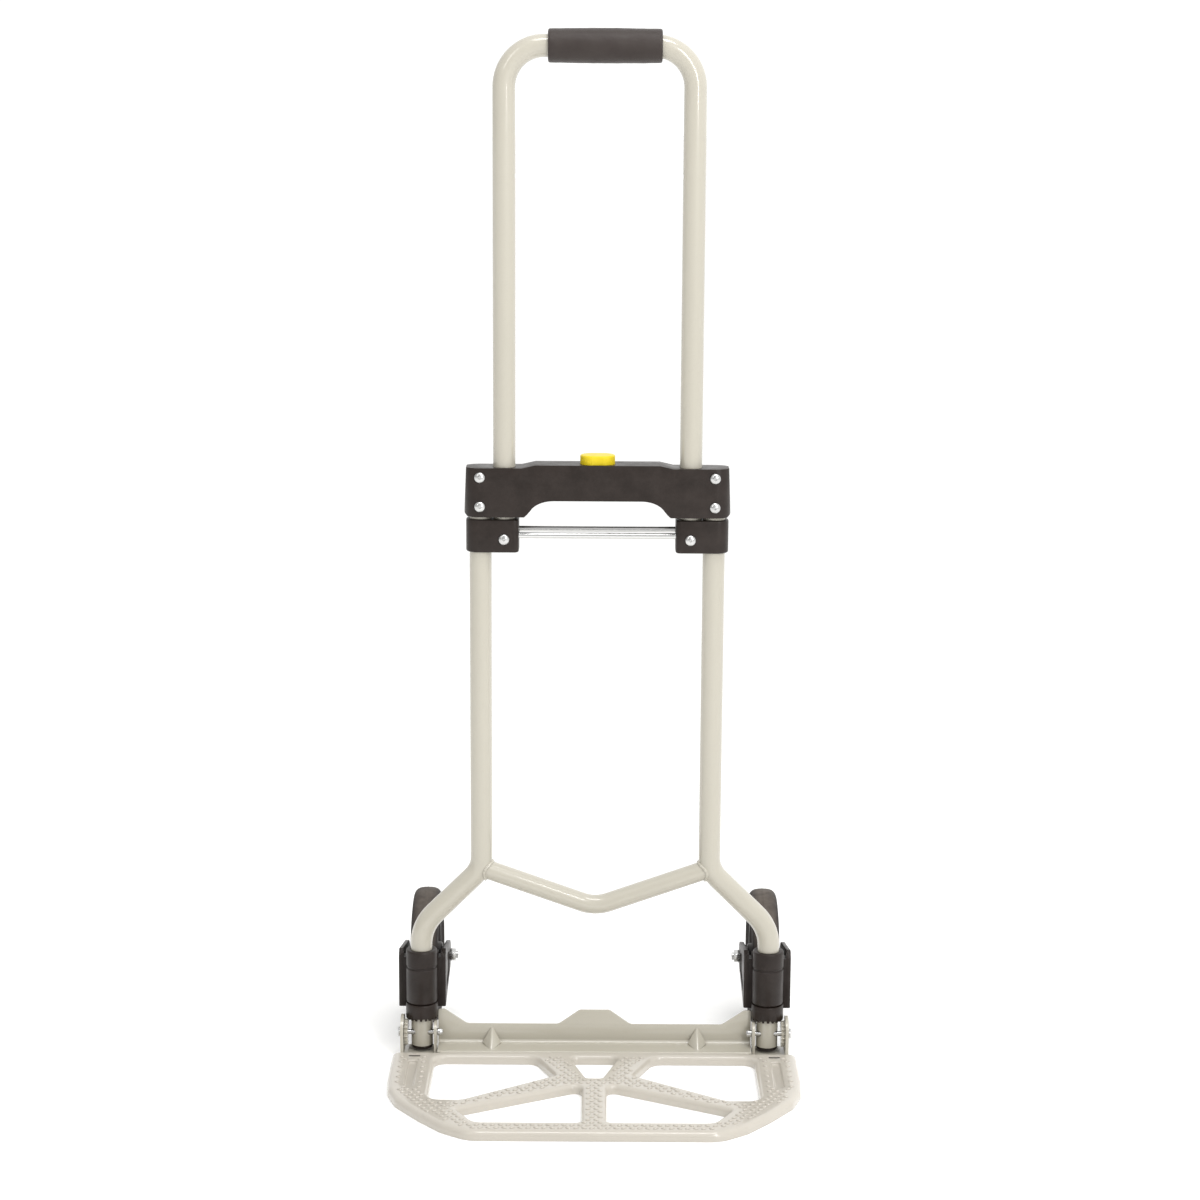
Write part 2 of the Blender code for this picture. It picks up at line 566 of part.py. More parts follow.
# ---------------------------------------------------------------- forks
for s, side in ((-1, "left"), (1, "right")):
    X = s * STUB_X
    ax = STEER[s]
    sleeve = turned([(10.0, SLEEVE_Z1), (SLEEVE_R - 1.6, SLEEVE_Z1), (SLEEVE_R, SLEEVE_Z1 - 1.6), (SLEEVE_R, 93.2), (SLEEVE_R - 1, 92.6),
                     (SLEEVE_R - 1, 91.2), (SLEEVE_R, 90.6), (SLEEVE_R, CROWN_Z1 + GAP), (10.0, CROWN_Z1 + GAP)], 24, at=(X, 0, 0))
    web = box((X - ARM_X1 + 0.5, 8, 46.5), (X + ARM_X1 - 0.5, 20, 103))
    drop(web)
    boolean(sleeve, web, "UNION")
    side_view = ([(8, 46.5)] + [(AXLE_Y + 15 * cos(radians(a)), AXLE_Z + 15 * sin(radians(a))) for a in range(-84, 79, 18)] + [(8, 104)])
    for d0, d1 in ((ARM_X0, ARM_X1), (-ARM_X1, -ARM_X0)):
        arm = outline(side_view, X + d0, X + d1, plane="YZ")
        drop(arm)
        boolean(sleeve, arm, "UNION")
    cut(sleeve, cylinder(BORE_R, (X, 0, 30), (X, 0, 120), 24, True),
        cylinder(CROWN_R + GAP, (X, 0, 30), (X, 0, CROWN_Z1 + GAP), 24, True),
        cylinder(4.3, (X - 40, AXLE_Y, AXLE_Z), (X + 40, AXLE_Y, AXLE_Z), 16, True))
    finish(sleeve, "fork_" + side, BLACK, ax)

    crown = turned([(BORE_R, CROWN_Z1), (CROWN_R - 1.0, CROWN_Z1), (CROWN_R, CROWN_Z1 - 1.0), (CROWN_R, CROWN_Z0), (BORE_R, CROWN_Z0)],
                   24, at=(X, 0, 0))
    # twelve notches round the lower rim leave the crown's teeth
    for k in range(6):
        a = pi * (k + 0.5) / 6
        w = outline([(-2.6, -1), (2.6, -1), (1.2, 2.6), (-1.2, 2.6)], -30, 30, plane="XZ", cutter=True)
        w.data.transform(Matrix.Rotation(a, 4, "Z"))
        w.location = Vector((X, 0, CROWN_Z0)) * MM
        boolean(crown, w)
    finish(crown, "crown_gear_" + side, BLACK, ax)

    # axle bolt, head on the outer arm and domed nut on the inner one
    bolt = turned([(0, 4.2), (4.6, 3.4), (6.4, 0), (4.0, 0), (4.0, -55.6), (0, -55.6)], 14, axis="X",
                  at=(X + s * (ARM_X1 + GAP), AXLE_Y, AXLE_Z))
    if s < 0:
        bolt.data.transform(Matrix.Rotation(pi, 4, "Z"))
    finish(bolt, "axle_bolt_" + side, STEEL, ax)
    x0 = X - s * (ARM_X1 + GAP)
    nut = cylinder(7.0, (x0, AXLE_Y, AXLE_Z), (x0 - s * 5.5, AXLE_Y, AXLE_Z), 6)
    cut(nut, cylinder(4.3, (x0 + s * 5, AXLE_Y, AXLE_Z), (x0 - s * 12, AXLE_Y, AXLE_Z), 16, True))
    finish(nut, "axle_nut_" + side, STEEL, ax, smooth=False)

# ---------------------------------------------------------------- wheels
for s, side in ((-1, "left"), (1, "right")):
    at = (s * STUB_X, AXLE_Y, AXLE_Z)
    w = WHEEL_W / 2
    R = WHEEL_R
    ty = turned([(53, w - 3.5), (64.5, w), (68.6, w - 4), (R, w - 10), (R, -w + 10), (68.6, -w + 4), (64.5, -w), (53, -w + 3.5)],
                28, axis="X", at=at)
    finish(ty, "tyre_" + side, TYRE, SPIN[s])
    rim = turned([(7.3, 15.5), (13, 15.5), (15, 4), (44, 4), (45.5, 11), (52.2, 11), (52.2, -11), (45.5, -11), (44, -4),
                  (15, -4), (13, -15.5), (7.3, -15.5)], 28, axis="X", at=at)
    for k in range(5):
        a = 2 * pi * k / 5 + pi / 2 + pi / 5
        pts = [(20, -6.5), (20, 6.5), (40, 17.5), (40, -17.5)]
        pts = [(AXLE_Y + x * cos(a) - y * sin(a), AXLE_Z + x * sin(a) + y * cos(a)) for x, y in pts]
        boolean(rim, outline(pts, s * STUB_X - 12, s * STUB_X + 12, plane="YZ", cutter=True))
    finish(rim, "wheel_rim_" + side, BLACK, SPIN[s])
    bush = turned([(4.15, 16.2), (7.0, 16.2), (7.0, -16.2), (4.15, -16.2)], 16, axis="X", at=at)
    finish(bush, "hub_bush_" + side, STEEL, SPIN[s])
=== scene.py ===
import bpy
import bmesh
from math import sin, cos, pi, radians, atan2, sqrt
from mathutils import Vector, Matrix, noise


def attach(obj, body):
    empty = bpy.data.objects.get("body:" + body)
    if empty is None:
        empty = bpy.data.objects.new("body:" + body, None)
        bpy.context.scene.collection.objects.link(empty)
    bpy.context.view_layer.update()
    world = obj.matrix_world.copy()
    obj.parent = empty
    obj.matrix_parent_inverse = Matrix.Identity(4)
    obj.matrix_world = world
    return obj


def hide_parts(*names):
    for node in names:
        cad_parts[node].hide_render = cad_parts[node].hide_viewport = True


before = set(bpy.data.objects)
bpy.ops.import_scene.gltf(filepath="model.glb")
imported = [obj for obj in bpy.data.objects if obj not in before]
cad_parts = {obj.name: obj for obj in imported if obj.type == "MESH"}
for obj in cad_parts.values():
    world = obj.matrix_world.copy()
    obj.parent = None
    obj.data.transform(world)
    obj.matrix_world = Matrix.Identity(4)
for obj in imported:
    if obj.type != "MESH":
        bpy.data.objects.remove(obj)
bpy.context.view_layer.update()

MM = 0.001
DY = 0.0321            # tube plane, behind the origin
C = bpy.context


# =============================================================== materials
class Nodes:
    """Small helper that makes a Principled material with its node links."""

    def __init__(self, name, color, rough, metal=0.0, coat=0.0, coat_rough=0.1, spec=0.5, ior=1.45):
        self.m = bpy.data.materials.new(name)
        self.m.use_nodes = True
        self.t = self.m.node_tree
        self.b = self.t.nodes["Principled BSDF"]
        self.b.inputs["Base Color"].default_value = (*color, 1)
        self.b.inputs["Roughness"].default_value = rough
        self.b.inputs["Metallic"].default_value = metal
        self.b.inputs["Coat Weight"].default_value = coat
        self.b.inputs["Coat Roughness"].default_value = coat_rough
        self.b.inputs["Specular IOR Level"].default_value = spec
        self.b.inputs["IOR"].default_value = ior
        self.co = self.t.nodes.new("ShaderNodeTexCoord").outputs["Object"]
        self.normal = None

    def noise(self, scale, detail=3.0, rough=0.5, stretch=None, w=0.0):
        n = self.t.nodes.new("ShaderNodeTexNoise")
        n.inputs["Scale"].default_value = scale
        n.inputs["Detail"].default_value = detail
        n.inputs["Roughness"].default_value = rough
        src = self.co
        if stretch or w:
            mp = self.t.nodes.new("ShaderNodeMapping")
            mp.inputs["Scale"].default_value = stretch or (1, 1, 1)
            mp.inputs["Location"].default_value = (w, w * 0.7, w * 1.3)
            self.t.links.new(src, mp.inputs["Vector"])
            src = mp.outputs["Vector"]
        self.t.links.new(src, n.inputs["Vector"])
        return n.outputs["Fac"]

    def voronoi(self, scale, feature="F1"):
        n = self.t.nodes.new("ShaderNodeTexVoronoi")
        n.feature = feature
        n.inputs["Scale"].default_value = scale
        self.t.links.new(self.co, n.inputs["Vector"])
        return n.outputs["Distance"]

    def ramp(self, fac, stops):
        r = self.t.nodes.new("ShaderNodeValToRGB")
        els = r.color_ramp.elements
        while len(els) < len(stops):
            els.new(0.5)
        for e, (p, c) in zip(els, stops):
            e.position = p
            e.color = (*c, 1) if isinstance(c, tuple) else (c, c, c, 1)
        self.t.links.new(fac, r.inputs["Fac"])
        return r.outputs["Color"]

    def mix(self, fac, a, b, blend="MIX"):
        m = self.t.nodes.new("ShaderNodeMix")
        m.data_type = "RGBA"
        m.blend_type = blend
        for sock, v in ((m.inputs[0], fac), (m.inputs[6], a), (m.inputs[7], b)):
            if isinstance(v, (int, float)):
                sock.default_value = v
            elif isinstance(v, tuple):
                sock.default_value = (*v, 1)
            else:
                self.t.links.new(v, sock)
        return m.outputs[2]

    def color(self, out):
        self.t.links.new(out, self.b.inputs["Base Color"])

    def rough(self, out):
        self.t.links.new(out, self.b.inputs["Roughness"])

    def bump(self, height, strength, distance):
        n = self.t.nodes.new("ShaderNodeBump")
        n.inputs["Strength"].default_value = strength
        n.inputs["Distance"].default_value = distance
        self.t.links.new(height, n.inputs["Height"])
        if self.normal:
            self.t.links.new(self.normal, n.inputs["Normal"])
        self.normal = n.outputs["Normal"]
        self.t.links.new(self.normal, self.b.inputs["Normal"])


def paint(name, a, b, rough=(0.23, 0.27), peel=0.02, scuff=0.0):
    k = Nodes(name, a, 0.3, coat=0.7, coat_rough=0.07)
    tint = k.ramp(k.noise(6, 1, 0.4), [(0.2, a), (0.8, b)])
    # fine specks in the enamel and faint rub marks
    speck = k.ramp(k.noise(900, 2, 0.6, w=3.0), [(0.30, 0.86), (0.42, 1.0)])
    tint = k.mix(0.35, tint, speck, "MULTIPLY")
    if scuff:
        rub = k.ramp(k.noise(60, 6, 0.7, stretch=(1, 0.35, 1), w=7.0), [(0.62, 1.0), (0.74, 0.80)])
        tint = k.mix(scuff, tint, rub, "MULTIPLY")
    k.color(tint)
    k.rough(k.ramp(k.noise(14, 1, 0.4, w=1.0), [(0.2, rough[0]), (0.8, rough[1])]))
    k.bump(k.noise(420, 2, 0.5, w=5.0), peel, 0.0004)
    return k.m


def plastic(name, a, b, rough=(0.28, 0.42), grain=0.22, scale=1500, spec=0.34):
    k = Nodes(name, a, 0.45, spec=spec)
    k.color(k.ramp(k.noise(45, 6, 0.68), [(0.36, a), (0.66, b)]))
    k.rough(k.ramp(k.noise(70, 4, 0.6, w=2.0), [(0.3, rough[0]), (0.7, rough[1])]))
    k.bump(k.voronoi(scale), grain, 0.0003)
    k.bump(k.noise(160, 3, 0.5, w=4.0), 0.10, 0.0004)
    return k.m


def steel(name, a, b, rough=(0.16, 0.32), stretch=(1, 1, 1)):
    k = Nodes(name, a, 0.25, metal=1.0)
    k.color(k.ramp(k.noise(120, 4, 0.6, stretch=stretch), [(0.3, a), (0.7, b)]))
    k.rough(k.ramp(k.noise(700, 3, 0.6, stretch=stretch, w=2.0), [(0.3, rough[0]), (0.7, rough[1])]))
    k.bump(k.noise(1500, 2, 0.5, stretch=stretch, w=1.0), 0.05, 0.0002)
    return k.m


PAINT = paint("enamel_grey", (0.447, 0.422, 0.356), (0.459, 0.433, 0.366))
PAINT_DECK = paint("enamel_deck", (0.462, 0.429, 0.374), (0.497, 0.462, 0.404), rough=(0.30, 0.44), peel=0.08, scuff=0.35)
BLACK = plastic("moulded_black", (0.0130, 0.0080, 0.0058), (0.0245, 0.0172, 0.0142))
BLACK_FORK = plastic("fork_black", (0.0170, 0.0118, 0.0100), (0.0265, 0.0200, 0.0175), rough=(0.30, 0.46), spec=0.3)
RIM = plastic("rim_black", (0.020, 0.016, 0.0148), (0.030, 0.025, 0.023), rough=(0.34, 0.5), grain=0.15, spec=0.35)
YELLOW = plastic("button_yellow", (0.66, 0.50, 0.006), (0.74, 0.575, 0.010), rough=(0.30, 0.42), grain=0.08, spec=0.4)
ZINC = steel("zinc_plate", (0.52, 0.52, 0.52), (0.66, 0.66, 0.65))
ROD = steel("drawn_rod", (0.60, 0.60, 0.60), (0.70, 0.70, 0.69), rough=(0.10, 0.20), stretch=(0.05, 1, 1))
RAWSTEEL = steel("plain_steel", (0.38, 0.38, 0.38), (0.50, 0.50, 0.49), rough=(0.3, 0.45))

k = Nodes("foam_rubber", (0.030, 0.022, 0.019), 0.5, spec=0.40)
k.b.inputs["Sheen Weight"].default_value = 0.08
k.b.inputs["Sheen Roughness"].default_value = 0.5
k.color(k.ramp(k.noise(40, 5, 0.6), [(0.3, (0.024, 0.0160, 0.0135)), (0.7, (0.034, 0.0250, 0.0215))]))
k.rough(k.ramp(k.noise(240, 4, 0.6, w=2.0), [(0.3, 0.42), (0.7, 0.55)]))
k.bump(k.voronoi(2400), 0.35, 0.0003)
k.bump(k.noise(90, 4, 0.6, stretch=(0.3, 1, 1), w=1.0), 0.12, 0.0005)
FOAM = k.m

k = Nodes("tyre_rubber", (0.030, 0.025, 0.023), 0.7, spec=0.25)
# lighter tread band, by distance from the axle line: partly dusty wear, partly painted light standing in for the sky
# light on the tread
sub = k.t.nodes.new("ShaderNodeVectorMath")
sub.operation = "SUBTRACT"
sub.inputs[1].default_value = (0, 0.093 + DY, 0.070)
k.t.links.new(k.co, sub.inputs[0])
mul = k.t.nodes.new("ShaderNodeVectorMath")
mul.operation = "MULTIPLY"
mul.inputs[1].default_value = (0, 1, 1)
k.t.links.new(sub.outputs[0], mul.inputs[0])
ln = k.t.nodes.new("ShaderNodeVectorMath")
ln.operation = "LENGTH"
k.t.links.new(mul.outputs[0], ln.inputs[0])
rng = k.t.nodes.new("ShaderNodeMapRange")
rng.inputs["From Min"].default_value = 0.0655
rng.inputs["From Max"].default_value = 0.0700
k.t.links.new(ln.outputs["Value"], rng.inputs["Value"])
dark = k.ramp(k.noise(60, 6, 0.65), [(0.32, (0.020, 0.0165, 0.0155)), (0.62, (0.030, 0.025, 0.0235)), (0.8, (0.040, 0.034, 0.031))])
# the tread colour is partly dust and partly a painted highlight, made lighter than the sidewall rubber
tread_dust_and_light = k.ramp(k.noise(85, 6, 0.7, w=9.0), [(0.30, (0.070, 0.058, 0.050)), (0.7, (0.125, 0.106, 0.090))])
k.color(k.mix(rng.outputs["Result"], dark, tread_dust_and_light))
k.rough(k.ramp(k.noise(150, 4, 0.6, w=2.0), [(0.3, 0.55), (0.7, 0.8)]))
k.bump(k.noise(900, 3, 0.6, w=1.0), 0.25, 0.0003)
TYRE = k.m


# =============================================================== mesh helpers
def new_mesh(bm, name="p"):
    me = bpy.data.meshes.new(name)
    bm.to_mesh(me)
    bm.free()
    o = bpy.data.objects.new(name, me)
    C.scene.collection.objects.link(o)
    return o


def bake(o, smooth=35):
    C.view_layer.update()
    me = bpy.data.meshes.new_from_object(o.evaluated_get(C.evaluated_depsgraph_get()))
    o.modifiers.clear()
    o.data = me
    if smooth:
        me.shade_smooth()
        me.set_sharp_from_angle(angle=radians(smooth))
    return o


def remove(*obs):
    for o in obs:
        bpy.data.objects.remove(o, do_unlink=True)


def boolean(o, others, op="DIFFERENCE", smooth=35):
    for c in others:
        m = o.modifiers.new("b", "BOOLEAN")
        m.operation, m.solver, m.object = op, "EXACT", c
    bake(o, smooth)
    remove(*others)
    return o


def bevel(o, width, seg=3, angle=40, smooth=40):
    m = o.modifiers.new("bev", "BEVEL")
    m.width, m.segments, m.limit_method = width * MM, seg, "ANGLE"
    m.angle_limit = radians(angle)
    m.use_clamp_overlap = True
    return bake(o, smooth)


def box(lo, hi):
    bm = bmesh.new()
    bmesh.ops.create_cube(bm, size=1.0)
    lo, hi = Vector(lo) * MM, Vector(hi) * MM
    for v in bm.verts:
        v.co = Vector([(lo[i] + hi[i]) / 2 + v.co[i] * (hi[i] - lo[i]) for i in range(3)])
    return new_mesh(bm)


def cyl(r, a, b, sides=48, r2=None):
    a, b = Vector(a), Vector(b)
    d = b - a
    bm = bmesh.new()
    bmesh.ops.create_cone(bm, cap_ends=True, cap_tris=False, segments=sides, radius1=r * MM,
                          radius2=(r if r2 is None else r2) * MM, depth=d.length * MM)
    bmesh.ops.transform(bm, verts=bm.verts, matrix=Matrix.Translation((a + b) / 2 * MM) @ d.to_track_quat("Z", "Y").to_matrix().to_4x4())
    return new_mesh(bm)


AXIS = {"Z": Matrix.Identity(4), "X": Matrix.Rotation(pi / 2, 4, "Y"), "Y": Matrix.Rotation(-pi / 2, 4, "X")}


def turned(profile, steps=64, axis="Z", at=(0, 0, 0), flip=False, closed=None):
    """Turn a (radius, height) profile about an axis; +height runs along +axis."""
    bm = bmesh.new()
    vs = [bm.verts.new((r * MM, 0, z * MM)) for r, z in profile]
    es = [bm.edges.new(p) for p in zip(vs, vs[1:])]
    if profile[0][0] > 0 and profile[-1][0] > 0:
        es.append(bm.edges.new((vs[-1], vs[0])))
    bmesh.ops.spin(bm, geom=vs + es, cent=(0, 0, 0), axis=(0, 0, 1), angle=2 * pi, steps=steps, use_merge=True)
    bmesh.ops.remove_doubles(bm, verts=bm.verts, dist=1e-6)
    bmesh.ops.recalc_face_normals(bm, faces=bm.faces)
    mat = AXIS[axis]
    if flip:
        mat = Matrix.Rotation(pi, 4, "Z" if axis != "Z" else "X") @ mat
    bmesh.ops.transform(bm, verts=bm.verts, matrix=Matrix.Translation(Vector(at) * MM) @ mat)
    o = new_mesh(bm)
    o.data.shade_smooth()
    o.data.set_sharp_from_angle(angle=radians(38))
    return o


def fill_flat(loops):
    """Triangulated flat mesh of nested 2D loops (mm)."""
    cu = bpy.data.curves.new("o", "CURVE")
    cu.dimensions, cu.fill_mode = "2D", "BOTH"
    for ring in loops:
        sp = cu.splines.new("POLY")
        sp.points.add(len(ring) - 1)
        for p, (x, y) in zip(sp.points, ring):
            p.co = (x * MM, y * MM, 0, 1)
        sp.use_cyclic_u = True
    t = bpy.data.objects.new("o", cu)
    C.scene.collection.objects.link(t)
    C.view_layer.update()
    me = bpy.data.meshes.new_from_object(t.evaluated_get(C.evaluated_depsgraph_get()))
    remove(t)
    return me


PLANE = {"XY": Matrix.Identity(4), "XZ": Matrix.Rotation(pi / 2, 4, "X"),
         "YZ": Matrix(((0, 0, 1, 0), (1, 0, 0, 0), (0, 1, 0, 0), (0, 0, 0, 1)))}


def prism(points, z0, z1, plane="XY", holes=()):
    """Solid of a flat outline between two levels along the plane's normal."""
    me = fill_flat([points, *holes])
    bm = bmesh.new()
    bm.from_mesh(me)
    bmesh.ops.remove_doubles(bm, verts=bm.verts, dist=1e-6)
    for f in bm.faces:
        if f.normal.z > 0:
            f.normal_flip()
    bmesh.ops.translate(bm, verts=bm.verts, vec=(0, 0, min(z0, z1) * MM))
    bmesh.ops.dissolve_limit(bm, angle_limit=0.001, verts=bm.verts, edges=bm.edges)
    ext = bmesh.ops.extrude_face_region(bm, geom=bm.faces[:], use_keep_orig=True)
    up = [g for g in ext["geom"] if isinstance(g, bmesh.types.BMVert)]
    bmesh.ops.translate(bm, verts=up, vec=(0, 0, abs(z1 - z0) * MM))
    bmesh.ops.recalc_face_normals(bm, faces=bm.faces)
    bmesh.ops.transform(bm, verts=bm.verts, matrix=PLANE[plane])
    return new_mesh(bm)


def corner(a, b, c, r, seg):
    a, b, c = Vector(a), Vector(b), Vector(c)
    if r <= 0:
        return [b]
    u, v = (a - b).normalized(), (c - b).normalized()
    half = u.angle(v) / 2
    t = r * cos(half) / sin(half)
    mid = b + (u + v).normalized() * (r / sin(half))
    p, q = b + u * t - mid, b + v * t - mid
    n = p.angle(q)
    return [mid + (p * sin((1 - i / seg) * n) + q * sin(i / seg * n)) / sin(n) for i in range(seg + 1)]


def ring(points, r, seg=8):
    n = len(points)
    rr = r if isinstance(r, (list, tuple)) else [r] * n
    out = []
    for i in range(n):
        out += corner(points[i - 1], points[i], points[(i + 1) % n], rr[i], seg)
    return [tuple(p) for p in out]


def path(points, radii, seg=14):
    out = [Vector(points[0])]
    for i in range(1, len(points) - 1):
        out += corner(points[i - 1], points[i], points[i + 1], radii[i - 1], seg)
    return out + [Vector(points[-1])]


def sweep(pts, r, sides=48, wall=0.0, closed=False, caps=False, up=(0, 1, 0), radius=None):
    """Round tube along points in mm, with a wall, caps or joined ends."""
    pts = [Vector(p) for p in pts]
    n = len(pts)
    bm = bmesh.new()

    def rings(rad):
        out = []
        u0 = Vector(up)
        for i, p in enumerate(pts):
            if closed:
                t = (pts[(i + 1) % n] - pts[i - 1]).normalized()
            else:
                a = (pts[i] - pts[i - 1]).normalized() if i else (pts[1] - pts[0]).normalized()
                b = (pts[i + 1] - pts[i]).normalized() if i < n - 1 else a
                t = (a + b).normalized()
            u = (u0 - t * u0.dot(t)).normalized()
            v = t.cross(u)
            rr = rad(i) if callable(rad) else rad
            out.append([bm.verts.new((p + u * rr * cos(2 * pi * k / sides) + v * rr * sin(2 * pi * k / sides)) * MM) for k in range(sides)])
        return out

    def skin(rs, flip=False):
        m = len(rs)
        for i in range(m if closed else m - 1):
            a, b = rs[i], rs[(i + 1) % m]
            for k in range(sides):
                q = (a[k], a[(k + 1) % sides], b[(k + 1) % sides], b[k])
                bm.faces.new(q[::-1] if flip else q)

    outer = rings(radius or r)
    skin(outer)
    if wall:
        inner = rings(r - wall)
        skin(inner, True)
        for i in (0, -1):
            for k in range(sides):
                bm.faces.new((outer[i][k], outer[i][(k + 1) % sides], inner[i][(k + 1) % sides], inner[i][k]))
    elif caps:
        bm.faces.new(outer[0])
        bm.faces.new(outer[-1])
    bmesh.ops.recalc_face_normals(bm, faces=bm.faces)
    o = new_mesh(bm)
    o.data.shade_smooth()
    o.data.set_sharp_from_angle(angle=radians(40))
    return o


def loft(rows, smooth=50):
    """Skin between rows of matching points, closed at both ends."""
    bm = bmesh.new()
    rs = [[bm.verts.new(Vector(p) * MM) for p in row] for row in rows]
    for a, b in zip(rs, rs[1:]):
        m = len(a)
        for i in range(m):
            bm.faces.new((a[i], a[(i + 1) % m], b[(i + 1) % m], b[i]))
    bm.faces.new(rs[0])
    bm.faces.new(rs[-1])
    bmesh.ops.recalc_face_normals(bm, faces=bm.faces)
    o = new_mesh(bm)
    o.data.shade_smooth()
    o.data.set_sharp_from_angle(angle=radians(smooth))
    return o


def straighten(pts, step):
    """Add points to long straight runs, so shading and cuts stay clean."""
    out = [pts[0]]
    for a, b in zip(pts, pts[1:]):
        n = max(1, int((b - a).length / step))
        out += [a.lerp(b, (i + 1) / n) for i in range(n)]
    return out


def piece(o, name, body, mat, slot, *nodes):
    """Name a finished piece, put it on its body and let it stand for CAD nodes."""
    o.name = name
    o.data.name = name
    o.data.materials.clear()
    o.data.materials.append(mat)
    o.data.transform(Matrix.Translation((0, DY, 0)))
    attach(o, body)
    if nodes:
        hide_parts(*nodes)
    return o


SIDES = ((-1, "left"), (1, "right"))

# =============================================================== tubes
R, WALL = 10.8, 1.4
FX, SX, KNEE, ELBOW = 112.8, 173.0, 192.0, 132.0


def frame_path(s, top=590.0, foot=9.0, seg=14):
    return path([Vector((s * FX, 0, top)), Vector((s * FX, 0, KNEE)), Vector((s * SX, 0, ELBOW)), Vector((s * SX, 0, foot))], (30, 45), seg)


def dist_to(p, pts):
    best = 1e9
    for a, b in zip(pts, pts[1:]):
        ab = b - a
        t = max(0.0, min(1.0, (p - a).dot(ab) / ab.length_squared))
        best = min(best, (p - a - ab * t).length)
    return best


for s, side in SIDES:
    t = sweep(straighten(frame_path(s), 60), R, 48, wall=WALL)
    t = boolean(t, [cyl(2.9, (s * 155, -6, 23), (s * 190, -6, 23), 24)])
    piece(t, "frame_tube_%s_shell" % side, "frame", PAINT, "painted_frame", "frame_tube_" + side)
    p = turned([(0, 14), (8.9, 14), (8.9, 8.7), (10.6, 8.7), (10.8, 8.4), (10.8, 7), (9.8, 5.6), (8.4, 5.2), (0, 5.2)], 48, at=(s * SX, 0, 0))
    piece(p, "tube_plug_%s_fine" % side, "frame", BLACK, "black_plastic", "tube_plug_" + side)

# V crossbar, its ends fitted to the tubes, with weld beads
cp = path([Vector((-FX, 0, 193)), Vector((0, 0, 153)), Vector((FX, 0, 193))], (40,), 14)
cr = sweep(straighten(cp, 12), 9.5, 48, wall=WALL)
cr = boolean(cr, [sweep(frame_path(s, 260, 100, 10), R + 0.3, 48, caps=True) for s in (-1, 1)])
piece(cr, "crossbar_shell", "frame", PAINT, "painted_frame", "crossbar")
for s, side in SIDES:
    fp = frame_path(s, 260, 100, 12)
    d = (Vector((0, 0, 153)) - Vector((s * FX, 0, 193))).normalized()
    u, v = Vector((0, 1, 0)), d.cross(Vector((0, 1, 0)))
    loop = []
    for i in range(56):
        a = 2 * pi * i / 56
        off = (u * cos(a) + v * sin(a)) * 9.6
        lo_, hi_ = 0.0, 40.0
        for _ in range(24):
            mid = (lo_ + hi_) / 2
            if dist_to(Vector((s * FX, 0, 193)) + off + d * mid, fp) < R + 0.2:
                lo_ = mid
            else:
                hi_ = mid
        loop.append(Vector((s * FX, 0, 193)) + off + d * hi_)
    bead = sweep(loop, 1.7, 12, closed=True, up=(0.3, 0.1, 1), radius=lambda i: 1.75 + 0.22 * sin(i * 2.4) + 0.12 * sin(i * 5.1))
    piece(bead, "weld_bead_" + side, "frame", PAINT, "painted_frame")

# =============================================================== handle
HX, HT = 89.8, 991.6
hp = path([Vector((-HX, 0, 517.5)), Vector((-HX, 0, HT)), Vector((HX, 0, HT)), Vector((HX, 0, 517.5))], (38, 38), 18)
h = sweep(straighten(hp, 60), R, 48, wall=WALL)
h = boolean(h, [cyl(3.4, (s * (HX - 14), 0, z), (s * (HX - 5), 0, z), 24) for s in (-1, 1) for z in (871, 580)])
piece(h, "handle_tube_shell", "handle", PAINT, "painted_frame", "handle_tube")

# foam grip: a soft sleeve, slightly fuller in the middle, with rolled ends
n = 28
prof = [(11.4, 53.2), (13.6, 53.5), (15.2, 53.0), (15.75, 51.6)]
for i in range(n + 1):
    x = 50.0 - 100.0 * i / n
    prof.append((15.75 + 0.5 * cos(x / 50 * pi / 2) + 0.05 * sin(i * 1.9), x))
prof += [(15.75, -51.6), (15.2, -53.0), (13.6, -53.5), (11.4, -53.2)]
g = turned(prof, 64, "X", (5, 0, HT))
bm = bmesh.new()
bm.from_mesh(g.data)
for vtx in bm.verts:
    c = vtx.co - Vector((0, 0, HT * MM))
    rr = sqrt(c.y ** 2 + c.z ** 2)
    if rr > 0.0135:
        kf = 1 + 0.010 * noise.noise(Vector((vtx.co.x * 60, c.y * 90, c.z * 90)))
        vtx.co.y, vtx.co.z = c.y * kf, HT * MM + c.z * kf
bm.to_mesh(g.data)
bm.free()
piece(g, "handle_grip_foam", "handle", FOAM, "foam_grip", "handle_grip")


def domed_screw(name, at, r, hgt, shank, length, body, node, hexr=1.7, depth=1.6):
    prof = [(0, hgt)] + [(r * sin(a), hgt * (0.12 + 0.88 * cos(a))) for a in [radians(x) for x in (15, 30, 45, 60, 75, 88)]]
    prof += [(r, 0.05), (r - 0.15, 0), (shank, 0), (shank, -length), (0, -length)]
    o = turned(prof, 40, "Y", at, flip=True)
    x, y, z = at
    o = boolean(o, [cyl(hexr, (x, y - hgt - 1, z), (x, y - hgt + depth, z), 6)], smooth=30)
    return piece(o, name, body, ZINC, "zinc_fasteners", node)


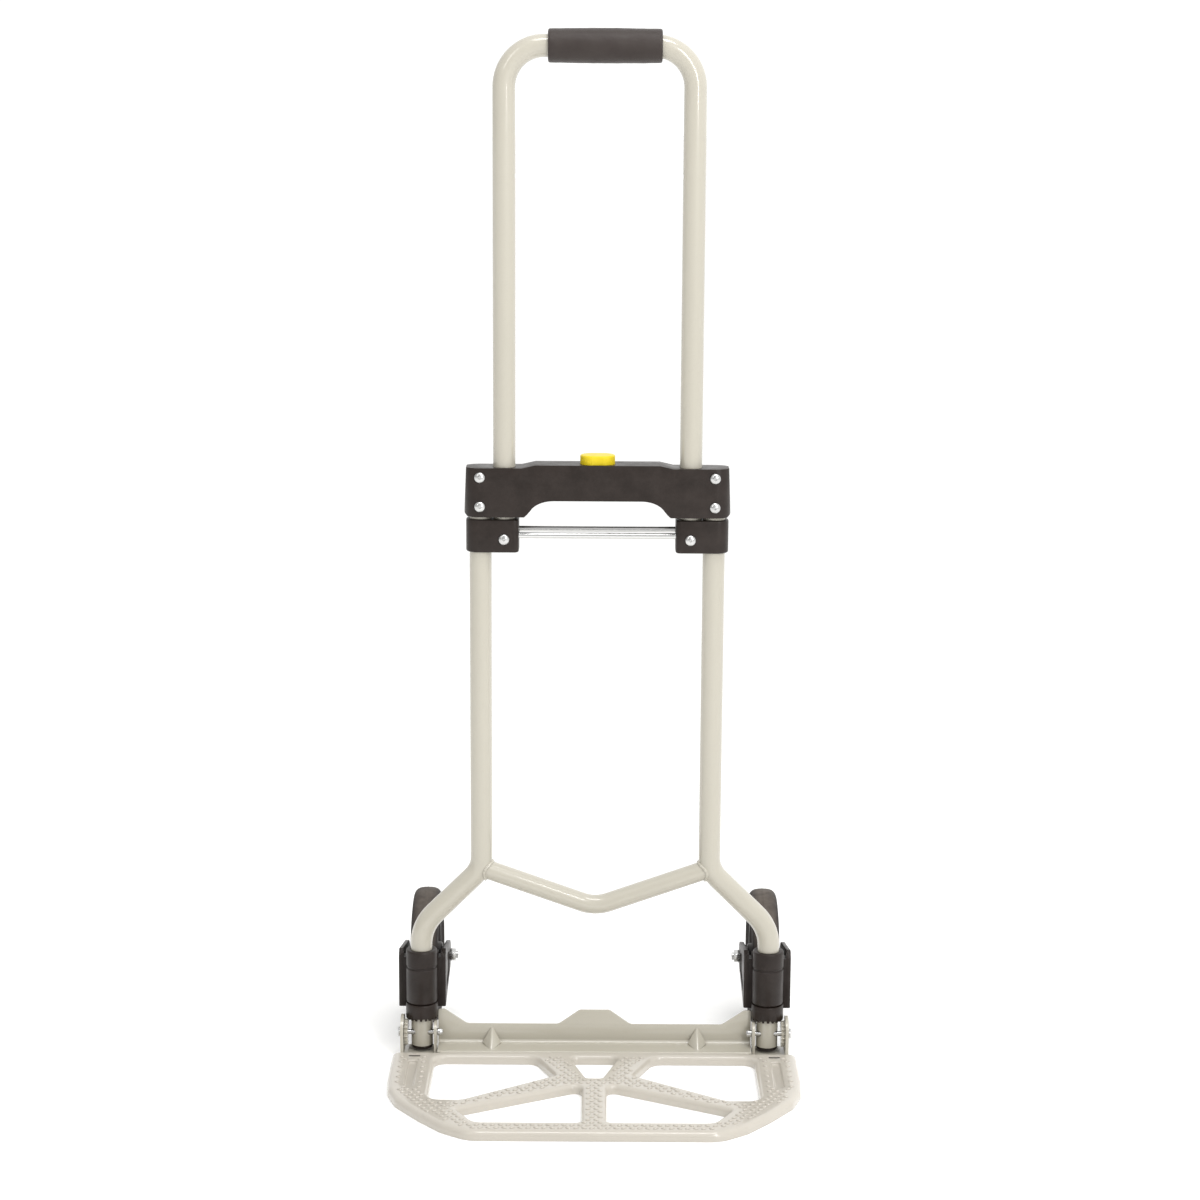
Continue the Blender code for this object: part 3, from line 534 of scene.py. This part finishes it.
# =============================================================== sliders
for s, side in SIDES:
    x0, x1, hy = 75.5, 126.7, 13.5
    pts = [(s * x0, -hy), (s * x1, -hy), (s * x1, hy), (s * x0, hy)]
    sl = prism(ring(pts, [5, 12, 12, 5], 8), 512.5, 544.8)
    sl = bevel(sl, 1.8, 4, 50)
    sl = boolean(sl, [cyl(11.15, (s * FX, 0, 500), (s * FX, 0, 560)), cyl(11.15, (s * HX, 0, 517.2), (s * HX, 0, 560)),
                      cyl(3.3, (s * 70, -6, 528.5), (s * 77.7, -6, 528.5), 24), cyl(3.3, (s * 70, 6, 533), (s * 77.7, 6, 533), 24),
                      cyl(2.3, (s * HX, -20, 525.6), (s * HX, -8, 525.6), 16)])
    piece(sl, "slider_%s_moulded" % side, "handle", BLACK, "black_plastic", "slider_" + side)
    domed_screw("slider_screw_%s_head" % side, (s * HX, -13.8, 525.6), 5.3, 3.0, 2.0, 7.5, "handle", "slider_screw_" + side, 1.3)
for nm, y, z in (("guide_rod_front", -6, 528.5), ("guide_rod_rear", 6, 533.0)):
    rod = turned([(0, 77.2), (2.4, 77.2), (3.0, 76.6)] + [(3.0, 76.6 - 153.2 * i / 12) for i in range(1, 12)] + [(3.0, -76.6), (2.4, -77.2), (0, -77.2)], 40, "X", (0, y, z))
    piece(rod, nm + "_drawn", "handle", ROD, "bright_rod", nm)

# =============================================================== clamp
Z0, Z1, ZM, HY = 547.5, 595.0, 598.0, 15.5
halfp = [(128.3, Z0 + 3), (126.3, Z1), (73, Z1), (60, ZM)]
arch = [(72.6, Z0 - 3), (70.4, Z0), (67.6, Z0 + 2.6)] + [(42 + 24 * cos(radians(a)), Z0 + 1 + 15 * sin(radians(a))) for a in range(20, 91, 7)]
outl = halfp + [(-x, z) for x, z in reversed(halfp)] + [(-125, Z0), (125, Z0)]
cl = prism(outl, -HY, HY, "XZ")
stad = [(FX + HY * cos(-pi / 2 + pi * i / 24), HY * sin(-pi / 2 + pi * i / 24)) for i in range(25)]
stad += [(-FX + HY * cos(pi / 2 + pi * i / 24), HY * sin(pi / 2 + pi * i / 24)) for i in range(25)]
cl = boolean(cl, [prism(stad, Z0 - 5, ZM + 5)], "INTERSECT")
cl = bevel(cl, 1.3, 3, 32)
cl = boolean(cl, [prism(arch + [(-x, z) for x, z in reversed(arch)], -HY - 4, HY + 4, "XZ")])
BA, BB = 16.8, 12.0


def oval(a, b, seg=14):
    return ring([(-a, -b), (a, -b), (a, b), (-a, b)], b - 0.01, seg)


cuts = [cyl(11.15, (s * FX, 0, Z0 - 5), (s * FX, 0, 590.3)) for s in (-1, 1)]
cuts += [cyl(11.15, (s * HX, 0, Z0 - 5), (s * HX, 0, ZM + 5)) for s in (-1, 1)]
cuts += [cyl(3.3, (s * 20, 0, 580), (s * 81, 0, 580), 20) for s in (-1, 1)]
cuts += [cyl(2.3, (s * FX, -18, z), (s * FX, -8, z), 16) for s in (-1, 1) for z in (586.0, 557.7)]
cuts += [prism(oval(BA + 0.4, BB + 0.4), 569, ZM + 5), box((-26, -4.2, 574.5), (26, 4.2, 585.5))]
# parting line between the front and rear mouldings
cuts += [box((-140, 4.7, ZM - 0.55), (-17.6, 5.2, ZM + 2)), box((17.6, 4.7, ZM - 0.55), (140, 5.2, ZM + 2))]
cl = boolean(cl, cuts)
piece(cl, "clamp_housing_moulded", "frame", BLACK, "black_plastic", "clamp_housing")
for s, side in SIDES:
    for z, lev in ((586.0, "upper"), (557.7, "lower")):
        domed_screw("clamp_screw_%s_%s_head" % (lev, side), (s * FX, -HY - 0.3, z), 5.2, 3.0, 2.0, 8.5, "frame", "clamp_screw_%s_%s" % (lev, side), 1.6)



def stadium_row(a, b, z, ribs=0.0, n=160):
    """One level of the button: a long round, with small upright ribs."""
    c = a - b
    row = []
    for i in range(n):
        t = 2 * pi * (i + 0.5) / n
        rr = b - ribs * (0.5 + 0.5 * cos(t * 44))
        row.append((rr * cos(t) + (c if cos(t) > 0 else -c), rr * sin(t), z))
    return row


rows = [stadium_row(7.0, 6.2, 605.0), stadium_row(7.0, 6.2, 589.0), stadium_row(BA - 0.4, BB - 0.4, 589.0), stadium_row(BA, BB, 589.6, 0.25)]
rows += [stadium_row(BA, BB, z, 0.35) for z in (594.0, 599.0, 603.6)]
rows += [stadium_row(BA - 1.5 * (1 - cos(radians(a))), BB - 1.5 * (1 - cos(radians(a))), 605.2 + 1.5 * sin(radians(a)), 0.25 * (1 - a / 90)) for a in (0, 22, 45, 68, 90)]
rows.append(stadium_row(BA - 4.0, BB - 4.0, 606.8))
bt = loft(rows)
piece(bt, "release_button_cap", "button", YELLOW, "yellow_plastic", "release_button")

# =============================================================== toe plate
PZ, FY, LR = 9.0, 4.0, 6.2


def mirror(pts):
    return [(-x, y) for x, y in reversed(pts)]


edge = [(118, -227.2), (143, -209), (165.5, -182), (190, -147), (199, -120), (201, -95), (201, -22.4), (157.2, -22.4), (157.2, FY)]
base = [(-x, y) for x, y in reversed(edge)] + edge
radii = [0] * len(base)
for i, (x, y) in enumerate(base):
    if y == -22.4 and abs(x) == 201:
        radii[i] = 7
    elif abs(x) == 118:
        radii[i] = 34
    elif abs(x) in (143, 165.5, 190, 199):
        radii[i] = 28
radii = [min(r, 60) for r in radii]


def outer_ring():
    out = []
    m = len(base)
    for i in range(m):
        a, b, c = Vector(base[i - 1]), Vector(base[i]), Vector(base[(i + 1) % m])
        r = radii[i]
        if r:
            half = (a - b).angle(c - b) / 2
            room = min((a - b).length, (c - b).length) * 0.48
            r = min(r, room * sin(half) / cos(half))
        out += [tuple(p) for p in corner(a, b, c, r, 7)] if r else [tuple(b)]
    return out


outer = outer_ring()
rear_hole = ring([(-158.5, -35), (-58, -35), (-38, -83), (-127, -146), (-158.5, -146)], [12, 14, 5, 14, 12], 7)
front_hole = ring([(-12, -107), (-12, -201), (-112, -201), (-130, -170)], [7, 6, 12, 3], 7)
mid_hole = ring([(-24, -34.5), (24, -34.5), (7, -90), (-7, -90)], [6, 6, 4, 4], 7)
holes = [rear_hole, mirror(rear_hole), front_hole, mirror(front_hole), mid_hole]


def offset(loop, d):
    """Move a closed loop to its own left by d (mm), mitred."""
    m = len(loop)
    out = []
    for i in range(m):
        p0, p1, p2 = Vector(loop[i - 1]), Vector(loop[i]), Vector(loop[(i + 1) % m])
        a, b = (p1 - p0).normalized(), (p2 - p1).normalized()
        na, nb = Vector((-a.y, a.x)), Vector((-b.y, b.x))
        nn = (na + nb)
        if nn.length < 1e-6:
            nn = na
        nn.normalize()
        out.append(tuple(p1 + nn * (d / max(0.4, nn.dot(na)))))
    return out


def area(loop):
    return sum(loop[i - 1][0] * loop[i][1] - loop[i][0] * loop[i - 1][1] for i in range(len(loop))) / 2


def inwards(loop, d, hole):
    """Offset into the sheet: inside the outline, outside a hole."""
    sgn = 1 if area(loop) > 0 else -1
    return offset(loop, d * sgn * (-1 if hole else 1))


bm = bmesh.new()
tops = []


def lip(loop, hole, prof):
    """Rolled lip: rings of (offset, height), from the free edge to the flat."""
    rows = []
    for d, z in prof:
        rows.append([bm.verts.new((x * MM, y * MM, z * MM)) for x, y in (inwards(loop, d, hole) if d else loop)])
    for a, b in zip(rows, rows[1:]):
        m = len(a)
        for i in range(m):
            bm.faces.new((a[i], a[(i + 1) % m], b[(i + 1) % m], b[i]))
    tops.append(inwards(loop, prof[-1][0], hole))


def roll(r, low=0.0, top=PZ, n=6):
    return [(0, low)] + [(r * (1 - cos(radians(90 * i / n))), top - r + r * sin(radians(90 * i / n))) for i in range(n + 1)]


lip(outer, False, roll(LR))
for hl in holes:
    lip(hl, True, roll(4.6, n=7))
# pressed pockets in front of the forks and the little slots beside them
pockets = []
for s in (-1, 1):
    pk = ring([(s * 173, -46), (s * 185, -46), (s * 185, -113), (s * 173, -121)], [5, 5, 5, 5], 6)
    sl_ = ring([(s * 172.5, -32.5), (s * 184.5, -32.5), (s * 184.5, -37.8), (s * 172.5, -37.8)], 1.4, 4)
    for loop, depth, r in ((pk, 3.0, 1.5), (sl_, 4.5, 0.35)):
        n_ = 5
        pr = [(-0.001, PZ)]
        rows = []
        steps = [(0, PZ)] + [(r * sin(radians(90 * i / n_)), PZ - r * (1 - cos(radians(90 * i / n_)))) for i in range(1, n_ + 1)]
        steps += [(r, PZ - depth + r)] if depth > 2 * r else []
        steps += [(r + r * (1 - cos(radians(90 * i / n_))), PZ - depth + r - r * sin(radians(90 * i / n_))) for i in range(1, n_ + 1)]
        for d, z in steps:
            lp = inwards(loop, d, False) if d else loop
            rows.append([bm.verts.new((x * MM, y * MM, z * MM)) for x, y in lp])
        for a, b in zip(rows, rows[1:]):
            m = len(a)
            for i in range(m):
                bm.faces.new((a[i], a[(i + 1) % m], b[(i + 1) % m], b[i]))
        if loop is pk:
            bm.faces.new(rows[-1])
        tops.append(loop)
        pockets.append(loop)
deck_fill = fill_flat(tops)
bm2 = bmesh.new()
bm2.from_mesh(deck_fill)
bmesh.ops.remove_doubles(bm2, verts=bm2.verts, dist=1e-6)
bmesh.ops.translate(bm2, verts=bm2.verts, vec=(0, 0, PZ * MM))
tmp = bpy.data.meshes.new("f")
bm2.to_mesh(tmp)
bm2.free()
bm.from_mesh(tmp)
bmesh.ops.remove_doubles(bm, verts=bm.verts, dist=2e-6)
bmesh.ops.recalc_face_normals(bm, faces=bm.faces)
if sum(f.normal.z * f.calc_area() for f in bm.faces) < 0:
    bmesh.ops.reverse_faces(bm, faces=bm.faces)
OPEN = sum(1 for e in bm.edges if e.is_boundary and min(v.co.z for v in e.verts) > 0.001)
deck = new_mesh(bm)
m = deck.modifiers.new("sheet", "SOLIDIFY")
m.thickness, m.offset, m.use_even_offset = 1.7 * MM, -1, False
bake(deck, 40)
print("deck open edges above the floor:", OPEN)

# rear flange with its dips, the soft crease and the pressed darts
fl = [(-156.9, 6.8), (156.9, 6.8), (156.9, 43.5), (150, 43.5), (128, 28.5), (36, 28.5), (15, 43.5), (-15, 43.5), (-36, 28.5), (-128, 28.5), (-150, 43.5), (-156.9, 43.5)]
flange = prism(ring(fl, [0, 0, 2, 5, 10, 10, 6, 6, 10, 10, 5, 2], 8), -FY - 1.2, -FY + 0.8, "XZ")
flange = bevel(flange, 0.45, 2, 50)
cove = prism([(FY - 0.4, 7.6), (FY - 0.4, 13.9)] + [(-1.4 + 5.0 * cos(radians(90 * i / 8)), 13.9 - 5.0 * sin(radians(90 * i / 8))) for i in range(0, 9)] + [(-1.4, 7.6)], -156.4, 156.4, "YZ")
bake(cove, 40)
darts = []
for s in (-1, 1):
    # a rounded pyramid pressed into the crease
    bm = bmesh.new()
    cx = s * 103
    for p in ((cx, FY - 0.6, 25.5), (cx - 1.6, FY - 0.5, 24.5), (cx + 1.6, FY - 0.5, 24.5), (cx - 9.6, -1.8, PZ + 1.6), (cx + 9.6, -1.8, PZ + 1.6),
              (cx, -18.0, PZ - 0.3), (cx - 2.2, -17.0, PZ - 0.3), (cx + 2.2, -17.0, PZ - 0.3), (cx, -6.6, PZ + 8.6),
              (cx, 3.6, PZ - 1.0), (cx - 8.6, 1.0, PZ - 1.0), (cx + 8.6, 1.0, PZ - 1.0)):
        bm.verts.new(Vector(p) * MM)
    bmesh.ops.convex_hull(bm, input=bm.verts[:])
    bmesh.ops.delete(bm, geom=[v for v in bm.verts if not v.link_faces], context="VERTS")
    bmesh.ops.recalc_face_normals(bm, faces=bm.faces)
    dd = bevel(new_mesh(bm), 1.1, 4, 18, 60)
    darts.append(dd)
strip = prism([(-156.6, -23.6), (156.6, -23.6), (156.6, -1.0), (-156.6, -1.0)], 8.0, 9.22)
bake(strip, 40)
crease = sweep([(-156.4 + 312.8 * i / 40, -23.9, 8.75) for i in range(41)], 1.1, 20, caps=True, up=(0, 0, 1))
# dark blocks under the two slots: painted shade, black boxes standing in for the shadow seen down each slot
for s, side in SIDES:
    shade_box = bevel(box((min(s * 172.9, s * 184.1), -37.4, 1.5), (max(s * 172.9, s * 184.1), -32.9, 8.3)), 0.4, 2, 40)
    piece(shade_box, "slot_shade_box_" + side, "toe_plate_body", RIM, "black_plastic")
piece(strip, "toe_plate_strip", "toe_plate_body", PAINT, "painted_frame")
piece(crease, "toe_plate_bead", "toe_plate_body", PAINT, "painted_frame")
piece(deck, "toe_plate_sheet", "toe_plate_body", PAINT_DECK, "painted_frame", "toe_plate")
piece(flange, "toe_plate_flange", "toe_plate_body", PAINT, "painted_frame")
piece(cove, "toe_plate_crease", "toe_plate_body", PAINT, "painted_frame")
for d_, (s, side) in zip(darts, SIDES):
    piece(d_, "toe_plate_dart_" + side, "toe_plate_body", PAINT, "painted_frame")


# raised anti-slip pips, in staggered rows over the rails
def inside(p, loop):
    x, y = p
    c = False
    for i in range(len(loop)):
        x1, y1 = loop[i - 1]
        x2, y2 = loop[i]
        if (y1 > y) != (y2 > y) and x < (x2 - x1) * (y - y1) / (y2 - y1) + x1:
            c = not c
    return c


def gap_to(p, loop):
    best = 1e9
    px, py = p
    for i in range(len(loop)):
        x1, y1 = loop[i - 1]
        x2, y2 = loop[i]
        dx, dy = x2 - x1, y2 - y1
        L = dx * dx + dy * dy
        t = max(0, min(1, ((px - x1) * dx + (py - y1) * dy) / L)) if L else 0
        best = min(best, ((px - x1 - dx * t) ** 2 + (py - y1 - dy * t) ** 2) ** 0.5)
    return best


bm = bmesh.new()
count = 0
pitch_x, pitch_y = 7.4, 6.6
y = -224.0
row_i = 0
while y < -36.5:
    x = -198 + (pitch_x / 2 if row_i % 2 else 0)
    while x < 199:
        p = (x, y)
        if inside(p, outer) and gap_to(p, outer) > 8.6 and not any(inside(p, hl) or gap_to(p, hl) < 6.4 for hl in holes) \
                and not any(inside(p, lp) or gap_to(p, lp) < 2.6 for lp in pockets):
            a0 = (0.6 if (row_i + int(round(x / pitch_x))) % 2 else -0.6)
            top = bm.verts.new((x * MM, y * MM, (PZ + 1.3) * MM))
            prev = [top]
            for rr, zz in ((1.0, 1.12), (1.8, 0.6), (2.4, -0.1)):
                cur = []
                for q in range(8):
                    an = 2 * pi * q / 8
                    ex, ey = rr * 1.25 * cos(an), rr * 0.85 * sin(an)
                    cur.append(bm.verts.new(((x + ex * cos(a0) - ey * sin(a0)) * MM, (y + ex * sin(a0) + ey * cos(a0)) * MM, (PZ + zz) * MM)))
                for q in range(8):
                    if len(prev) == 1:
                        bm.faces.new((top, cur[q], cur[(q + 1) % 8]))
                    else:
                        bm.faces.new((prev[q], cur[q], cur[(q + 1) % 8], prev[(q + 1) % 8]))
                prev = cur
            bm.faces.new(prev[::-1])
            count += 1
        x += pitch_x
    y += pitch_y
    row_i += 1
print("pips:", count)
pips = new_mesh(bm)
pips.data.shade_smooth()
piece(pips, "toe_plate_pips", "toe_plate_body", PAINT_DECK, "painted_frame")

# hinge brackets, gears, pins and nuts
HGY, HGZ = -6.0, 23.0


def arcp(r, a0, a1, n):
    return [(HGY + r * cos(radians(a0 + (a1 - a0) * i / n)), HGZ + r * sin(radians(a0 + (a1 - a0) * i / n))) for i in range(n + 1)]


for s, side in SIDES:
    b0 = box((min(s * 157.5, s * 193.5), -22, 0.0), (max(s * 157.5, s * 193.5), 12, 3))
    o1 = prism([(-22, 0), (12, 0)] + arcp(18, -12, 150, 28), min(s * 190.5, s * 193.5), max(s * 190.5, s * 193.5), "YZ")
    o2 = prism([(-13.5, 0), (12, 0)] + arcp(12, -18, 150, 24), min(s * 157.5, s * 160.5), max(s * 157.5, s * 160.5), "YZ")
    br = boolean(b0, [o1, o2], "UNION")
    br = bevel(br, 0.6, 2, 50)
    br = boolean(br, [cyl(2.85, (s * 150, HGY, HGZ), (s * 200, HGY, HGZ), 24)])
    piece(br, "hinge_bracket_%s_sheet" % side, "toe_plate_body", PAINT, "painted_frame", "hinge_bracket_" + side)
    teeth = []
    for i in range(17):
        for da, r in ((-6.5, 10.7), (-5.2, 11.2), (-2.3, 13.0), (2.3, 13.0), (5.2, 11.2), (6.5, 10.7)):
            a = radians(90 + i * 360 / 17 + 9 + da)
            teeth.append((HGY + r * cos(a), HGZ + r * sin(a)))
    gr = prism(teeth, min(s * 190.2, s * 186.6), max(s * 190.2, s * 186.6), "YZ")
    gr = bevel(gr, 0.25, 1, 50)
    gr = boolean(gr, [cyl(2.85, (s * 180, HGY, HGZ), (s * 200, HGY, HGZ), 24)])
    piece(gr, "hinge_gear_%s_cut" % side, "toe_plate_body", PAINT, "gear_metal", "hinge_gear_" + side)
    prof = [(0, 6), (1.6, 5.9), (2.7, 5.2), (3.4, 4.1), (3.6, 3.0), (3.6, 0.2), (3.4, 0), (2.5, 0), (2.5, -36.2), (2.1, -36.7), (0, -36.7)]
    pn = turned(prof, 32, "X", (s * 157.2, HGY, HGZ), flip=(s > 0))
    piece(pn, "hinge_pin_%s_zinc" % side, "toe_plate_body", ZINC, "zinc_fasteners", "hinge_pin_" + side)
    nt = cyl(5.2, (s * 193.8, HGY, HGZ), (s * 196.9, HGY, HGZ), 6)
    nt = bevel(nt, 0.45, 2, 30)
    nt = boolean(nt, [cyl(2.85, (s * 190, HGY, HGZ), (s * 200, HGY, HGZ), 24)])
    piece(nt, "hinge_nut_%s_zinc" % side, "toe_plate_body", ZINC, "zinc_fasteners", "hinge_nut_" + side)

# =============================================================== forks
for s, side in SIDES:
    X = s * SX
    body = "fork_%s_body" % side
    prof = [(10.0, 108.5), (13.6, 108.5), (14.7, 108.1), (15.3, 107.2), (15.5, 106.2), (15.5, 92.0), (15.2, 91.6), (14.6, 91.4), (14.4, 90.8),
            (14.4, 90.2), (14.6, 89.6), (15.2, 89.4), (15.5, 89.0), (15.5, 55.2), (15.0, 54.2), (14.2, 53.6), (10.0, 53.6)]
    sv = turned(prof, 72, at=(X, 0, 0))
    wb = prism([(X - 23, 44.4), (X + 23, 44.4), (X + 23, 97), (X + 20.5, 101), (X - 20.5, 101), (X - 23, 97)], -20, -8, "XZ")
    wb = bevel(wb, 1.2, 3, 40)
    view = [(8, 44.4)] + [(93 + 15 * cos(radians(a)), 70 + 15 * sin(radians(a))) for a in range(-84, 80, 6)] + [(14, 104), (8, 97)]
    arms = []
    for d0, d1 in ((19.0, 23.5), (-23.5, -19.0)):
        a_ = prism(view, X + d0, X + d1, "YZ")
        # a shallow lightening panel with a raised border on the outer face
        outerx = X + (d1 if d0 > 0 else d0)
        sg_ = 1 if d0 > 0 else -1
        pan = ring([(24, 55), (76, 60.5), (76, 80), (24, 94)], [4, 4, 4, 4], 6)
        a_ = bevel(a_, 1.0, 3, 45)
        a_ = boolean(a_, [prism(pan, outerx - sg_ * 1.1, outerx + sg_ * 3, "YZ")])
        arms.append(a_)
    fo = boolean(sv, [wb] + arms, "UNION")
    fo = boolean(fo, [cyl(11.15, (X, 0, 30), (X, 0, 120)), cyl(16.3, (X, 0, 30), (X, 0, 53.5), 64), cyl(4.3, (X - 40, 93, 70), (X + 40, 93, 70), 32),
                      box((X + 15.9, 2, 96.5), (X + 18.6, 24, 105)), box((X - 18.6, 2, 96.5), (X - 15.9, 24, 105))])
    piece(fo, "fork_%s_moulded" % side, body, BLACK_FORK, "black_plastic", "fork_" + side)

    cg = turned([(11.15, 53.0), (14.4, 53.0), (15.5, 52.6), (16.0, 51.4), (16.0, 37.4), (15.6, 36.8), (14.9, 36.5), (11.15, 36.5)], 72, at=(X, 0, 0))
    nots = []
    for i in range(10):
        a = pi * (i + 0.5) / 10
        w_ = prism([(-1.9, -1), (1.9, -1), (0.9, 2.6), (-0.9, 2.6)], -30, 30, "XZ")
        w_.data.transform(Matrix.Translation((X * MM, 0, 36.5 * MM)) @ Matrix.Rotation(a, 4, "Z"))
        nots.append(w_)
    cg = boolean(cg, nots)
    piece(cg, "crown_gear_%s_moulded" % side, body, BLACK, "black_plastic", "crown_gear_" + side)

    hd = [(0, 4.2), (1.6, 4.15), (3.2, 3.9), (4.6, 3.3), (5.7, 2.3), (6.3, 1.0), (6.4, 0.2), (6.2, 0), (4.0, 0), (4.0, -55.1), (3.5, -55.6), (0, -55.6)]
    bo = turned(hd, 40, "X", (X + s * 23.8, 93, 70), flip=(s < 0))
    piece(bo, "axle_bolt_%s_zinc" % side, body, ZINC, "zinc_fasteners", "axle_bolt_" + side)
    x0 = X - s * 23.8
    nt = cyl(7.0, (x0, 93, 70), (x0 - s * 5.5, 93, 70), 6)
    nt = bevel(nt, 0.6, 2, 30)
    nt = boolean(nt, [cyl(4.3, (x0 + s * 5, 93, 70), (x0 - s * 12, 93, 70), 32)])
    piece(nt, "axle_nut_%s_zinc" % side, body, ZINC, "zinc_fasteners", "axle_nut_" + side)

# =============================================================== wheels
for s, side in SIDES:
    at = (s * SX, 93, 70)
    body = "wheel_%s_body" % side
    prof = [(52.6, 11.2), (54, 12.2), (57, 13.2), (58.0, 13.9), (59.0, 14.1), (60.0, 13.9), (62.5, 13.7), (64.5, 13.1), (66.3, 12.0), (67.8, 10.4), (68.9, 8.3),
            (69.5, 6.0), (69.8, 3.4), (69.85, 0.9), (70.0, 0.5), (70.0, 0.25)]
    prof = prof + [(r, -z) for r, z in reversed(prof)]
    ty = turned(prof, 96, "X", at)
    piece(ty, "tyre_%s_tread" % side, body, TYRE, "tyre_rubber", "tyre_" + side)
    prof = [(7.3, 15.5), (11.6, 15.5), (12.6, 15.1), (13.2, 14.2), (14.4, 6.2), (15.6, 4.6), (17, 4.2), (42, 4.2), (44, 4.8), (45.2, 6.4), (45.8, 10.0), (46.4, 10.9), (47.4, 11.2),
            (51.2, 11.2), (52.0, 10.6), (52.3, 9.6)]
    prof = prof + [(r, -z) for r, z in reversed(prof)]
    rm = turned(prof, 96, "X", at)
    wins = []
    for i in range(5):
        a = 2 * pi * i / 5 + pi / 2 + pi / 5
        pts = ring([(20, -6.5), (20, 6.5), (40, 17.5), (42.5, 0), (40, -17.5)], [3, 3, 4, 0, 4], 6)
        pts = [(93 + x * cos(a) - y_ * sin(a), 70 + x * sin(a) + y_ * cos(a)) for x, y_ in pts]
        wins.append(prism(pts, s * SX - 6, s * SX + 6, "YZ"))
    rm = boolean(rm, wins, smooth=32)
    ribs = []
    for i in range(5):
        a = 2 * pi * i / 5 + pi / 2
        for sg_ in (-1, 1):
            rb = [(14, -1.6), (44.8, -1.6), (44.8, 1.6), (14, 1.6)]
            rb = [(93 + x * cos(a) - y_ * sin(a), 70 + x * sin(a) + y_ * cos(a)) for x, y_ in rb]
            ribs.append(bevel(prism(rb, s * SX + sg_ * 3.6, s * SX + sg_ * 8.2, "YZ"), 0.7, 2, 40))
    rm = boolean(rm, ribs, "UNION", smooth=32)
    piece(rm, "wheel_rim_%s_spoked" % side, body, RIM, "rim_plastic", "wheel_rim_" + side)

# =============================================================== CAD pieces that keep their shape
for name, mat in (("button_spring", RAWSTEEL), ("lock_pin_left", RAWSTEEL), ("lock_pin_right", RAWSTEEL),
                  ("hub_bush_left", RAWSTEEL), ("hub_bush_right", RAWSTEEL)):
    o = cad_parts[name]
    for sl_ in o.material_slots:
        sl_.material = mat
    o.data.shade_smooth()
    o.data.set_sharp_from_angle(angle=radians(40))

# =============================================================== stage
bm = bmesh.new()
bmesh.ops.create_grid(bm, x_segments=1, y_segments=1, size=30)
floor = new_mesh(bm, "studio_floor")
floor.location.z = -0.0004
fm = bpy.data.materials.new("studio_white")
fm.use_nodes = True
nt_ = fm.node_tree
pb = nt_.nodes["Principled BSDF"]
pb.inputs["Base Color"].default_value = (0.82, 0.82, 0.815, 1)
pb.inputs["Roughness"].default_value = 0.85
pb.inputs["Specular IOR Level"].default_value = 0.1
pb.inputs["Emission Color"].default_value = (1.0, 0.998, 0.99, 1)
pb.inputs["Emission Strength"].default_value = 0.24
floor.data.materials.append(fm)

w = bpy.data.worlds.new("studio")
C.scene.world = w
w.use_nodes = True
wt = w.node_tree
bgn = wt.nodes["Background"]
bgn.inputs["Color"].default_value = (1.0, 0.998, 0.99, 1)
# soft box room: brightest behind, dimmer in front and on the left
wco = wt.nodes.new("ShaderNodeTexCoord")
dot = wt.nodes.new("ShaderNodeVectorMath")
dot.operation = "DOT_PRODUCT"
dot.inputs[1].default_value = (0.34, 0.26, 0.10)
wt.links.new(wco.outputs["Generated"], dot.inputs[0])
add = wt.nodes.new("ShaderNodeMath")
add.operation = "ADD"
add.inputs[1].default_value = 0.90
wt.links.new(dot.outputs["Value"], add.inputs[0])
wt.links.new(add.outputs[0], bgn.inputs["Strength"])


def area_light(name, loc, aim, size, power, color=(1, 1, 1), size_y=None):
    l = bpy.data.lights.new(name, "AREA")
    l.energy, l.color, l.shape = power, color, "RECTANGLE"
    l.size, l.size_y = size, size_y or size
    o = bpy.data.objects.new(name, l)
    C.scene.collection.objects.link(o)
    o.location = loc
    o.rotation_mode = "QUATERNION"
    o.rotation_quaternion = (Vector(aim) - Vector(loc)).to_track_quat("-Z", "Y")
    return o


area_light("key_left", (-1.7, -2.2, 2.3), (0, 0, 0.8), 0.4, 9, (1, 0.99, 0.97), 1.4)
area_light("key_right", (1.15, -2.2, 1.70), (0, 0, 1.25), 0.34, 28, (1, 0.995, 0.99), 1.65)
area_light("top", (0.2, -0.7, 2.9), (0, 0, 0.3), 1.6, 27, (1, 1, 1), 0.7)

C.scene.view_settings.view_transform = "Standard"
C.scene.view_settings.look = "None"
C.scene.view_settings.exposure = 0.0

cam = bpy.data.cameras.new("camera")
co = bpy.data.objects.new("camera", cam)
C.scene.collection.objects.link(co)
C.scene.camera = co
cam.sensor_width = 36.0
cam.lens = 36.0 * 2700 / 1200
cam.shift_x = 3.1 / 1200
cam.clip_end = 100
co.location = (0, DY - 2.5705, 0.987)
co.rotation_mode = "QUATERNION"
look = Vector((0, cos(radians(11.5)), -sin(radians(11.5))))
q = look.to_track_quat("-Z", "Y")
from mathutils import Quaternion
co.rotation_quaternion = q @ Quaternion((0, 0, 1), 0.0056)
